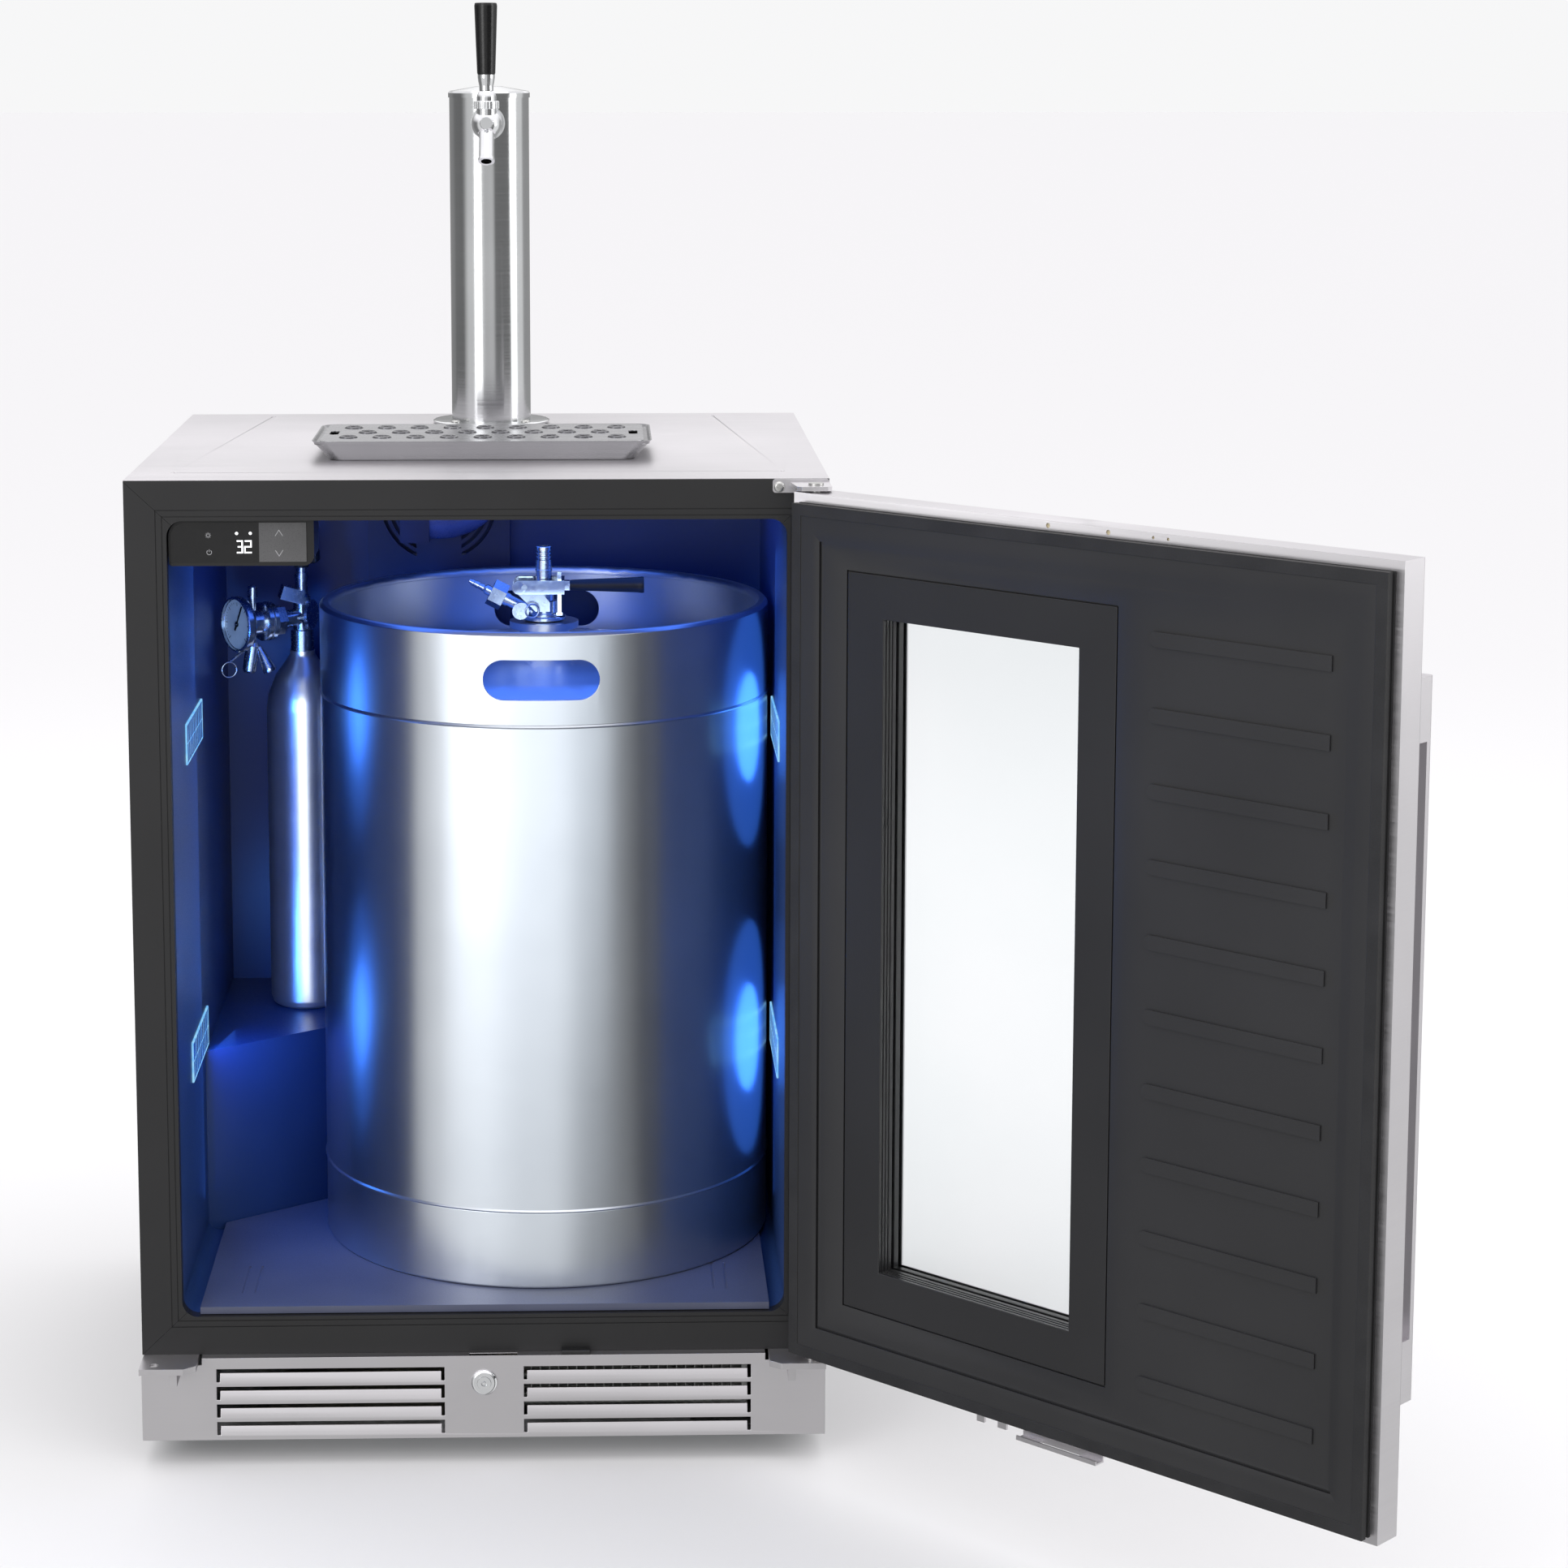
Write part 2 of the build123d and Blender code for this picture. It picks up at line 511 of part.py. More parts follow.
with BuildPart() as tower_air_duct:
    with BuildLine() as duct_path:
        start = (-60, DUCT_Y, DUCT_Z)
        Line(start, (-DUCT_BEND, DUCT_Y, DUCT_Z))
        lift = DUCT_BEND * (1 - math.cos(math.radians(45)))
        across = DUCT_BEND * math.sin(math.radians(45))
        ThreePointArc((-DUCT_BEND, DUCT_Y, DUCT_Z), (-DUCT_BEND + across, DUCT_Y, DUCT_Z + lift),
                      (0, DUCT_Y, DUCT_Z + DUCT_BEND))
        Line((0, DUCT_Y, DUCT_Z + DUCT_BEND), (0, DUCT_Y, HEIGHT))
    with BuildSketch(Plane(origin=start, z_dir=(1, 0, 0))):
        Circle(DUCT_R)
        Circle(DUCT_R - 2, mode=Mode.SUBTRACT)
    sweep()
finish(tower_air_duct, "tower_air_duct")

# ================================================================ lamps, control panel and floor plate
LAMP_Y0, LAMP_Y1 = 112.0, 240.0
with BuildPart() as led_lamps:
    for side in (-1, 1):
        x0, x1 = sorted((side * CAVITY_HALF, side * (CAVITY_HALF - 3.0)))
        for low in (308.0, 597.0):
            block(x0, x1, LAMP_Y0, LAMP_Y1, low, low + 37)
finish(led_lamps, "led_lamps")

PANEL_X0, PANEL_X1, PANEL_Z0 = -261.0, -138.3, 790.2


def screen(y):
    """The outline of the touch panel on a plane at depth y."""
    with BuildSketch(facing(y)) as outline:
        with Locations(((PANEL_X0 + PANEL_X1 - 4) / 2, (PANEL_Z0 + CAVITY_CEILING + 1) / 2)):
            Rectangle(PANEL_X1 - PANEL_X0 - 8, CAVITY_CEILING - PANEL_Z0 - 5)
        fillet(outline.vertices().group_by(Axis.X)[0].sort_by(Axis.Y)[-1], 13)
    return outline


with BuildPart() as control_housing:
    with BuildSketch(facing(6)):
        with Locations(((PANEL_X0 + PANEL_X1) / 2, (PANEL_Z0 + CAVITY_CEILING) / 2)):
            Rectangle(PANEL_X1 - PANEL_X0, CAVITY_CEILING - PANEL_Z0)
        fillet(vertices().group_by(Axis.X)[-1].sort_by(Axis.Y)[0], 9)
        fillet(vertices().group_by(Axis.X)[0].sort_by(Axis.Y)[-1], CAVITY_CORNER)
        fillet(vertices().group_by(Axis.X)[0].sort_by(Axis.Y)[0], 3)
    extrude(amount=-54)
    extrude(screen(5.0).sketch, amount=-2.5, mode=Mode.SUBTRACT)
finish(control_housing, "control_housing")

with BuildPart() as control_panel:
    extrude(screen(5.6).sketch, amount=-1.9)
finish(control_panel, "control_panel")

with BuildPart() as floor_plate:
    block(-247, 249, 5, 484, PLATE_TOP - PLATE_THICK, PLATE_TOP)
    block(-245.5, 247.5, 6.5, 482.5, PLATE_TOP - PLATE_THICK - 1, PLATE_TOP - 1.5, Mode.SUBTRACT)
    for x in (-213, -202, 202, 213):
        block(x - 1, x + 1, 40, 110, PLATE_TOP - 0.7, PLATE_TOP + 1, Mode.SUBTRACT)
    add(hump_prism(CAVITY_FLOOR, PLATE_TOP + 1, -2), mode=Mode.SUBTRACT)
finish(floor_plate, "floor_plate")

# ================================================================ door, drawn shut and swung open
SWING = Axis((HINGE_X, HINGE_Y, 0), (0, 0, 1))
BUSH_R = 6.2
FIELD_Y = LINER_FACE - 2.0
BEZEL_FACE = LINER_FACE - 5.0


def finish_door(piece, label):
    """Swing a piece that was drawn on the shut door to its open position and write it."""
    swung = piece.part.rotate(SWING, OPEN_ANGLE)
    swung.label = label
    export_step(swung, f"parts/{label}.step")


def door_block(u0, u1, y0, y1, z0, z1, mode=Mode.ADD):
    """A box on the shut door; u runs from the hinge edge towards the handle."""
    block(HALF - u1, HALF - u0, y0, y1, z0, z1, mode)


def taper_pocket(outer, inner, y_outer, y_inner):
    """Sink a pocket with sloping sides from one (u0, u1, z0, z1) outline to a smaller one."""
    faces = []
    for (u0, u1, z0, z1), y in ((outer, y_outer), (inner, y_inner)):
        with BuildSketch(facing(y)) as outline:
            with Locations((HALF - (u0 + u1) / 2, (z0 + z1) / 2)):
                Rectangle(u1 - u0, z1 - z0)
        faces.append(outline.sketch)
    loft(faces, mode=Mode.SUBTRACT)
    door_block(*outer[:2], y_outer, y_outer + 2, *outer[2:], Mode.SUBTRACT)


with BuildPart() as door_shell:
    door_block(0, WIDTH, DOOR_OUTER, DOOR_INNER, DOOR_BOTTOM, DOOR_TOP)
    fillet(door_shell.edges().filter_by(Axis.Z).group_by(Axis.Y)[0], radius=2)
    door_block(DOOR_SHEET, WIDTH - DOOR_SHEET, DOOR_OUTER + DOOR_SHEET, DOOR_INNER - DOOR_SHEET,
               DOOR_BOTTOM + DOOR_SHEET, DOOR_TOP - DOOR_SHEET, Mode.SUBTRACT)
    door_block(8, WIDTH - 8, DOOR_INNER - 3, DOOR_INNER + 1, DOOR_BOTTOM + 8, DOOR_TOP - 8.4, Mode.SUBTRACT)
    door_block(*GLASS[:2], DOOR_OUTER - 1, DOOR_OUTER + 3, *GLASS[2:], Mode.SUBTRACT)
    for u, radius in ((268, 2.0), (327, 2.0), (370, 1.2), (384, 1.2)):
        rod((HALF - u, DOOR_INNER - 3, DOOR_TOP - 4), (0, 1, 0), radius, 5, Mode.SUBTRACT)
    for z in (DOOR_BOTTOM - 1, DOOR_TOP - 3):
        rod((HINGE_X, HINGE_Y, z), (0, 0, 1), BUSH_R, 4, Mode.SUBTRACT)
    for x0, x1 in ((80.5, 88.5), (57.5, 66.5)):
        block(x0, x1, DOOR_INNER, DOOR_INNER + 2.4, 99, DOOR_BOTTOM + 2)
        block(x0, x1, DOOR_INNER - 2, DOOR_INNER, DOOR_BOTTOM, DOOR_BOTTOM + 2)
finish_door(door_shell, "door_shell")

with BuildPart() as door_liner:
    door_block(8, WIDTH - 8, DOOR_INNER - DOOR_SHEET, DOOR_INNER, DOOR_BOTTOM + 8, DOOR_TOP - 8.4)
    door_block(GASKET_IN, WIDTH - GASKET_IN, DOOR_INNER - DOOR_SHEET, LINER_FACE, 118.4, 838)
    taper_pocket((29, 566, 130, 826), (41, 554, 142, 814), LINER_FACE, FIELD_Y)
    taper_pocket((50, 356, 149.5, 810.5), (BEZEL[0] - 1.2, BEZEL[1] + 1.2, BEZEL[2] - 1.2, BEZEL[3] + 1.2),
                 FIELD_Y, BEZEL_FACE)
    door_block(BEZEL[0] - 1.2, BEZEL[1] + 1.2, BEZEL_FACE - 2, BEZEL_FACE, BEZEL[2] - 1.2, BEZEL[3] + 1.2,
               Mode.SUBTRACT)
    door_block(*BEZEL[:2], DOOR_INNER - 2, BEZEL_FACE, *BEZEL[2:], Mode.SUBTRACT)
    door_block(36.5, 39, FIELD_Y - 1.5, LINER_FACE + 1, 137, 818, Mode.SUBTRACT)
    door_block(36.5, 558, FIELD_Y - 1.5, LINER_FACE + 1, 137, 139.5, Mode.SUBTRACT)
    for n in range(11):
        z = 775 - 59.7 * n
        door_block(381, 541, FIELD_Y - 0.5, FIELD_Y + 1.6, z - 6, z + 6)
        rod((HALF - 381, FIELD_Y - 0.5, z), (0, 1, 0), 6, 2.1)
finish_door(door_liner, "door_liner")

SLEEVE = (GLASS[0] - 9, GLASS[1] + 9, GLASS[2] - 9, GLASS[3] + 9)
PANE_EDGES = (GLASS[0] - PANE_EDGE, GLASS[1] + PANE_EDGE, GLASS[2] - PANE_EDGE, GLASS[3] + PANE_EDGE)
SHEET_IN = DOOR_OUTER + DOOR_SHEET
with BuildPart() as door_foam:
    door_block(DOOR_SHEET, WIDTH - DOOR_SHEET, SHEET_IN, DOOR_INNER - DOOR_SHEET,
               DOOR_BOTTOM + DOOR_SHEET, DOOR_TOP - DOOR_SHEET)
    door_block(*SLEEVE[:2], SHEET_IN - 1, DOOR_INNER, *SLEEVE[2:], Mode.SUBTRACT)
    for z in (DOOR_BOTTOM - 1, DOOR_TOP - 25):
        rod((HINGE_X, HINGE_Y, z), (0, 0, 1), BUSH_R, 26, Mode.SUBTRACT)
    for x0, x1 in ((80.5, 88.5), (57.5, 66.5)):
        block(x0, x1, DOOR_INNER - 2, DOOR_INNER, DOOR_BOTTOM, DOOR_BOTTOM + 2, Mode.SUBTRACT)
finish_door(door_foam, "door_foam")

with BuildPart() as window_frame:
    door_block(*BEZEL[:2], DOOR_INNER - DOOR_SHEET, BEZEL_FACE, *BEZEL[2:])
    door_block(*SLEEVE[:2], SHEET_IN, DOOR_INNER, *SLEEVE[2:])
    door_block(*GLASS[:2], SHEET_IN - 1, DOOR_INNER + 8, *GLASS[2:], Mode.SUBTRACT)
    for pane in (INNER_PANE, OUTER_PANE):
        door_block(*PANE_EDGES[:2], pane, pane + PANE, *PANE_EDGES[2:], Mode.SUBTRACT)
    for y in (DOOR_INNER + 1, DOOR_INNER - 3, DOOR_INNER - 7):
        door_block(GLASS[0] - 0.7, GLASS[1] + 0.7, y, y + 1, GLASS[2] - 0.7, GLASS[3] + 0.7, Mode.SUBTRACT)
finish_door(window_frame, "window_frame")

with BuildPart() as window_glass:
    for pane in (INNER_PANE, OUTER_PANE):
        door_block(*PANE_EDGES[:2], pane, pane + PANE, *PANE_EDGES[2:])
finish_door(window_glass, "window_glass")

GASKET_LOW, GASKET_HIGH = 108.4, 848.0
with BuildPart() as door_gasket:
    with BuildSketch(facing(DOOR_INNER)):
        with Locations((0, (GASKET_LOW + GASKET_HIGH) / 2)):
            Rectangle(WIDTH - 2 * GASKET_OUT, GASKET_HIGH - GASKET_LOW)
            Rectangle(WIDTH - 2 * GASKET_IN, GASKET_HIGH - GASKET_LOW - 20, mode=Mode.SUBTRACT)
    extrude(amount=DOOR_INNER - GASKET_FACE)
    with BuildSketch(facing(DOOR_INNER + 2)):
        with Locations((0, (GASKET_LOW + GASKET_HIGH) / 2)):
            Rectangle(WIDTH, GASKET_HIGH - GASKET_LOW + 10)
            Rectangle(WIDTH - 2 * GASKET_OUT - 3, GASKET_HIGH - GASKET_LOW - 3, mode=Mode.SUBTRACT)
    extrude(amount=-3, mode=Mode.SUBTRACT)
finish_door(door_gasket, "door_gasket")

HANDLE_OUT = DOOR_OUTER - HANDLE_REACH
GRIP0 = WIDTH - HANDLE_EDGE - HANDLE_WIDTH
with BuildPart() as door_handle:
    door_block(GRIP0, GRIP0 + HANDLE_WIDTH, HANDLE_OUT, HANDLE_OUT + 7, HANDLE_LOW, HANDLE_HIGH)
    for z in (HANDLE_LOW, HANDLE_HIGH - HANDLE_POST):
        door_block(GRIP0, GRIP0 + HANDLE_WIDTH, HANDLE_OUT + 1, DOOR_OUTER, z, z + HANDLE_POST)
    fillet(door_handle.edges().filter_by(Axis.Z).group_by(Axis.Y)[0], radius=3)
finish_door(door_handle, "door_handle")

with BuildPart() as lock_strike:
    block(-40.5, 40.5, -28, -11.5, DOOR_BOTTOM - 1.5, DOOR_BOTTOM)
    block(-40.5, 40.5, DOOR_INNER, -11.5, 98, DOOR_BOTTOM)
    block(-40.5, 40.5, DOOR_INNER, -2, 98, 99.5)
    block(-40.5, 40.5, -3.5, -2, 98, 101.6)
    block(-20, 20, -11.4, -3.6, 97, 100, Mode.SUBTRACT)
    for x in (-32, 32):
        rod((x, -21, DOOR_BOTTOM - 3), (0, 0, 1), 2.2, 4, Mode.SUBTRACT)
finish_door(lock_strike, "lock_strike")

with BuildPart() as door_bushes:
    rod((HINGE_X, HINGE_Y, DOOR_BOTTOM - 1.6), (0, 0, 1), 9, 1.6)
    rod((HINGE_X, HINGE_Y, DOOR_BOTTOM - 1.6), (0, 0, 1), BUSH_R, 17)
    rod((HINGE_X, HINGE_Y, DOOR_TOP - 17), (0, 0, 1), BUSH_R, 17)
    rod((HINGE_X, HINGE_Y, DOOR_BOTTOM - 2), (0, 0, 1), BUSH_BORE, 800, Mode.SUBTRACT)
finish_door(door_bushes, "door_bushes")

# ================================================================ keg
CHIME_IN = KEG_R - 3.5
with BuildPart() as keg_shell:
    lathe(
        [
            (0, 158), (140, 160), (180, 172), (198, 195), (CHIME_IN - 0.1, 206), (CHIME_IN - 0.1, KEG_SEAM_LOW),
            (KEG_R, KEG_SEAM_LOW), (KEG_R + 1.3, KEG_SEAM_LOW + 1.5), (KEG_R, KEG_SEAM_LOW + 3),
            (KEG_R, KEG_SEAM_HIGH - 3), (KEG_R + 1.3, KEG_SEAM_HIGH - 1.5), (KEG_R, KEG_SEAM_HIGH),
            (CHIME_IN - 0.1, KEG_SEAM_HIGH), (197, 653), (176, 668), (110, 678), (23, 681), (23, 698),
            (31.5, 698), (31.5, KEG_NECK), (0, KEG_NECK), (0, 696), (20.5, 696), (20.5, 678.5),
            (110, 675.5), (175, 665.5), (194, 651.5), (199, 642), (KEG_R - KEG_WALL, 636),
            (KEG_R - KEG_WALL, 216), (199, 209), (195, 197.5), (178.5, 174.3), (139.5, 162.5), (0, 160.5),
        ],
        (KEG_X, KEG_Y, 0),
    )
finish(keg_shell, "keg_shell")

with BuildPart() as keg_bottom_chime:
    lathe([(CHIME_IN, KEG_SEAM_LOW), (CHIME_IN, 144), (CHIME_IN - 4, 141), (CHIME_IN - 4, KEG_BASE + 1),
           (CHIME_IN - 3, KEG_BASE), (KEG_R - 1, KEG_BASE), (KEG_R, KEG_BASE + 2), (KEG_R, KEG_SEAM_LOW)],
          (KEG_X, KEG_Y, 0))
finish(keg_bottom_chime, "keg_bottom_chime")

SLOT_Z, SLOT_LONG, SLOT_HIGH = 683.7, 101.0, 35.0
with BuildPart() as keg_top_chime:
    lathe([(CHIME_IN, KEG_SEAM_HIGH), (KEG_R, KEG_SEAM_HIGH), (KEG_R, KEG_RIM - 3), (KEG_R - 3, KEG_RIM),
           (197, KEG_RIM), (195, KEG_RIM - 3), (195, KEG_RIM - 7), (198, KEG_RIM - 7), (198, KEG_RIM - 4),
           (CHIME_IN, KEG_RIM - 4)], (KEG_X, KEG_Y, 0))
    with BuildSketch(Plane.XZ.offset(-KEG_Y)):
        with Locations((KEG_X, SLOT_Z)):
            SlotOverall(SLOT_LONG, SLOT_HIGH)
    extrude(amount=KEG_R + 10, both=True, mode=Mode.SUBTRACT)
finish(keg_top_chime, "keg_top_chime")

# ================================================================ keg coupler
LEVER_X, LEVER_Z = 35.0, 736.3
STEM_R = 7.3
BARB = (-0.89, 0, 0.456)
RELIEF_X, RELIEF_Z = 31.5, 715.5


def along(base, direction, distance):
    """The point at a distance from base along a direction."""
    return tuple(b + distance * d for b, d in zip(base, direction))


with BuildPart() as coupler_body:
    lathe([(0, KEG_NECK + 0.3), (17, KEG_NECK + 0.3), (20, KEG_NECK + 1.5), (20, 708), (18.5, 709), (14, 709),
           (14, 711), (11.9, 711.6), (11.9, 722.2), (8.9, 722.8), (8.9, 730.1), (0, 730.1)], (KEG_X, KEG_Y, 0))
    inlet = (44, KEG_Y, 710.2)
    rod(inlet, BARB, 5.5, 31)
    lathe([(0, 27), (6.2, 27), (6.2, 31), (4.5, 32), (0, 32)], inlet, BARB)
    hex_nut(along(inlet, BARB, 31.5), BARB, 25, 13.5)
    lathe([(0, 44), (4.5, 44), (4.5, 50), (2.6, 52), (3.6, 52.5), (2.6, 57), (3.6, 57.5), (2.6, 62),
           (3.2, 62.5), (1.9, 67), (0, 67)], inlet, BARB)
    rod(along(inlet, BARB, 20), BARB, 1.3, 50, Mode.SUBTRACT)
    rod((RELIEF_X, KEG_Y, RELIEF_Z), (0, -1, 0), 3.5, 17)
    rod((RELIEF_X, KEG_Y - 17.5, RELIEF_Z), (0, 1, 0), 1.6, 9, Mode.SUBTRACT)
    for side in (-1, 1):
        y = KEG_Y + side * 10.9
        with BuildSketch(facing(y + 1.3)) as ear:
            with BuildLine():
                Polyline((45, 713.5), (58, 713.5), (58, 722), (42, 742), (29, 742), (29, 729.5), close=True)
            make_face()
        extrude(ear.sketch, amount=2.6)
        rod((LEVER_X, y, LEVER_Z), (0, side, 0), 2.5, 5.2)
    rod((KEG_X, KEG_Y, KEG_NECK + 4), (0, 0, 1), STEM_R + 0.05, 30, Mode.SUBTRACT)
finish(coupler_body, "coupler_body")

with BuildPart() as coupler_probe:
    lathe([(0, 709.5), (STEM_R, 709.5), (STEM_R, 749.4), (STEM_R + 0.5, 749.8), (STEM_R + 0.5, 751), (STEM_R, 751.4),
           (STEM_R, 760), (STEM_R - 1, 760.6), (STEM_R - 1, 761.6), (STEM_R, 762.2), (STEM_R, 763.4),
           (STEM_R - 1, 764), (STEM_R - 1, 765), (STEM_R, 765.6), (STEM_R, 766.8), (STEM_R - 1, 767.4),
           (STEM_R - 1, 768.4), (STEM_R, 769), (STEM_R, 772), (STEM_R - 0.6, 772.6), (4.6, 772.6), (4.6, 711),
           (0, 711)], (KEG_X, KEG_Y, 0))
finish(coupler_probe, "coupler_probe")

with BuildPart() as coupler_lever:
    for side in (-1, 1):
        y0, y1 = sorted((KEG_Y + side * 12.6, KEG_Y + side * 15.6))
        with BuildSketch(facing(y0)) as plate:
            with Locations((48.6, LEVER_Z)):
                Rectangle(45.6, 12.7)
            with Locations((30.15, LEVER_Z)):
                Rectangle(12.7, 12.7, mode=Mode.SUBTRACT)
                Circle(6.35)
            with Locations((LEVER_X, LEVER_Z)):
                Rectangle(9.7, 12.7)
                Circle(2.55, mode=Mode.SUBTRACT)
        extrude(plate.sketch, amount=y0 - y1)
    block(66, 71.4, KEG_Y - 15.6, KEG_Y + 15.6, LEVER_Z - 6.35, LEVER_Z + 6.35)
    block(71.4, 76, KEG_Y - 4.3, KEG_Y + 4.3, LEVER_Z - 4.3, LEVER_Z + 4.3)
    block(65, 68.5, KEG_Y - 11, KEG_Y - 8, 709.8, 750)
    block(64, 69.5, KEG_Y - 11, KEG_Y - 8, 709.8, 712.5)
    rod((75, KEG_Y, LEVER_Z), (1, 0, 0), 3.0, 40)
finish(coupler_lever, "coupler_lever")

with BuildPart() as coupler_grip:
    lathe([(0, 0), (4.6, 0), (4.9, 2), (6.0, 30), (7.0, 62), (7.6, 66), (7.3, 68), (0, 68)],
          (76.2, KEG_Y, LEVER_Z), (1, 0, 0))
    rod((75, KEG_Y, LEVER_Z), (1, 0, 0), 3.0, 40, Mode.SUBTRACT)
finish(coupler_grip, "coupler_grip")

with BuildPart() as coupler_relief:
    rod((RELIEF_X, KEG_Y - 17.3, RELIEF_Z), (0, -1, 0), 7.6, 4.7)
    rod((RELIEF_X, KEG_Y - 18, RELIEF_Z), (0, 1, 0), 1.5, 8)
    with Locations(Plane(origin=(RELIEF_X + 10.5, KEG_Y - 20, RELIEF_Z), z_dir=(0.35, -1, 0))):
        Torus(6.2, 0.9)
    rod((RELIEF_X, KEG_Y - 20, RELIEF_Z), (1, 0, 0), 1.2, 10)
finish(coupler_relief, "coupler_relief")

# ================================================================ gas bottle and regulator
with BuildPart() as co2_bottle:
    lathe([(0, BOTTLE_BASE + 4), (18, BOTTLE_BASE + 4), (22, BOTTLE_BASE), (28, BOTTLE_BASE), (33, BOTTLE_BASE + 3),
           (BOTTLE_R, BOTTLE_BASE + 9), (BOTTLE_R, 596), (33, 610), (26, 628), (16, 642), (12, 648), (12, 652),
           (0, 652), (0, 638), (12, 630), (24, 620), (31.5, 600), (31.5, BOTTLE_BASE + 12), (0, BOTTLE_BASE + 10)],
          (BOTTLE_X, BOTTLE_Y, 0))
finish(co2_bottle, "co2_bottle")

FLOW = (-0.79864, -0.60182, 0)
PORT = (BOTTLE_X, BOTTLE_Y, REG_Z)
with BuildPart() as co2_valve:
    lathe([(0, 652), (11, 652), (11, 671.5), (8.5, 672.5), (8.5, 704), (6, 707), (6, 722), (6.6, 722), (6.6, 727),
           (4.8, 727), (4.8, 732), (0, 732)], (BOTTLE_X, BOTTLE_Y, 0))
    lathe([(0, 0), (8.4, 0), (8.4, 18), (0, 18)], PORT, FLOW)
    rod((BOTTLE_X, BOTTLE_Y, REG_Z + 3), (0.94, -0.34, 0), 6, 11)
    rod(along((BOTTLE_X, BOTTLE_Y, REG_Z + 3), (0.94, -0.34, 0), 8), (0.94, -0.34, 0), 14, 3)
    with Locations(Plane(origin=(-190, 392, 707), x_dir=(0.87, 0.3, -0.38), z_dir=(0.3, 0, 0.95))):
        Box(22, 12, 13)
finish(co2_valve, "co2_valve")

with BuildPart() as co2_handwheel:
    lathe([(4.85, 732.4), (7, 732.4), (7, 736), (15, 737), (18, 739), (18, 748), (15, 750), (0, 750), (0, 744),
           (4.85, 744)], (BOTTLE_X, BOTTLE_Y, 0))
    for n in range(8):
        angle = math.pi * n / 4
        rod((BOTTLE_X + 19.5 * math.cos(angle), BOTTLE_Y + 19.5 * math.sin(angle), 730), (0, 0, 1), 3.5, 30,
            Mode.SUBTRACT)
finish(co2_handwheel, "co2_handwheel")

with BuildPart() as regulator_body:
    lathe([(0, 18), (9, 18), (9, 21), (6.5, 21.6), (6.5, 25), (0, 25)], PORT, FLOW)
    hex_nut(along(PORT, FLOW, 24), FLOW, 30, 12)
    lathe([(0, 35), (12, 35), (12, 36), (18.5, 36), (18.5, 40), (17, 40.6), (17, 42), (18.5, 42.6), (18.5, 46), (16, 47), (12.4, 47),
           (12.4, 60), (8, 62), (0, 62)], PORT, FLOW)
    top = along(PORT, FLOW, 55)
    rod((top[0], top[1], REG_Z + 10), (0, 0, 1), 3.5, 25)
    lathe([(0, 23.6), (4.6, 23.6), (4.6, 34), (3.2, 35.7), (0, 35.7)], top)
    rod((top[0], top[1], REG_Z - 10), (0, 0, -1), 3.0, 12)
    drop = (top[0], top[1], REG_Z - 19)
    lathe([(0, 0), (4, 0), (6.6, 3), (6.6, 27), (5, 29), (0, 29)], drop, (-0.15, 0, -0.989))
    lathe([(0, 8), (2.4, 8), (6.4, 32), (5.6, 34), (0, 34)], (top[0] + 2, top[1] - 2, REG_Z - 16), (0.42, -0.1, -0.9))
    ring_top = along((PORT[0], PORT[1], 648.4), FLOW, 82)
    hang = along((PORT[0], PORT[1], 664), FLOW, 55)
    link = [b - a for a, b in zip(hang, ring_top)]
    rod(hang, link, 1.2, math.hypot(*link))
    with Locations(Plane(origin=(ring_top[0], ring_top[1], ring_top[2] - 7), z_dir=(0.42, -0.9, 0))):
        Torus(7.2, 0.8)
finish(regulator_body, "regulator_body")

GAUGE_R = 26.5
with BuildPart() as pressure_gauge:
    lathe([(0, 62), (8, 62), (22, 64), (25, 66), (GAUGE_R, 69), (GAUGE_R, 74), (GAUGE_R - 1, 75), (GAUGE_R - 2.4, 75),
           (GAUGE_R - 2.4, 72), (1.0, 72), (1.0, 74.2), (0, 74.2)], PORT, FLOW)
finish(pressure_gauge, "pressure_gauge")

with BuildPart() as gauge_needle:
    lathe([(1.06, 72.5), (2.6, 72.5), (2.6, 73.5), (1.06, 73.5)], PORT, FLOW)
    hub = along(PORT, FLOW, 73)
    with Locations(Plane(origin=hub, x_dir=(0.2779, -0.3688, 0.887), z_dir=FLOW)):
        with Locations((11.2, 0, 0)):
            Box(18, 1.3, 0.8)
        with Locations((-4.4, 0, 0)):
            Box(5, 1.8, 0.8)
finish(gauge_needle, "gauge_needle")

# ================================================================ tower, faucet and drip tray
with BuildPart() as tower_column:
    lathe([(36, HEIGHT), (54, HEIGHT), (56, HEIGHT + 1.5), (56, HEIGHT + 3), (54.5, HEIGHT + 4), (TOWER_R, HEIGHT + 4),
           (TOWER_R, 1176.3), (36, 1176.3)], (0, TOWER_Y, 0))
    rod((0, TOWER_Y, TAP_Z), (0, -1, 0), 11.2, 60, Mode.SUBTRACT)
    with Locations(*[Vector(x, y, HEIGHT + 2) for x, y in TOWER_BOLTS]):
        Cylinder(2.2, 6, mode=Mode.SUBTRACT)
finish(tower_column, "tower_column")

with BuildPart() as tower_cap:
    lathe([(0, 1176.3), (39, 1176.3), (39, 1180.6), (37.4, 1182.4), (12, 1186.8), (0, TOWER_TOP)], (0, TOWER_Y, 0))
    lathe([(0, 1172), (35.8, 1172), (35.8, 1176.3), (0, 1176.3)], (0, TOWER_Y, 0))
finish(tower_cap, "tower_cap")

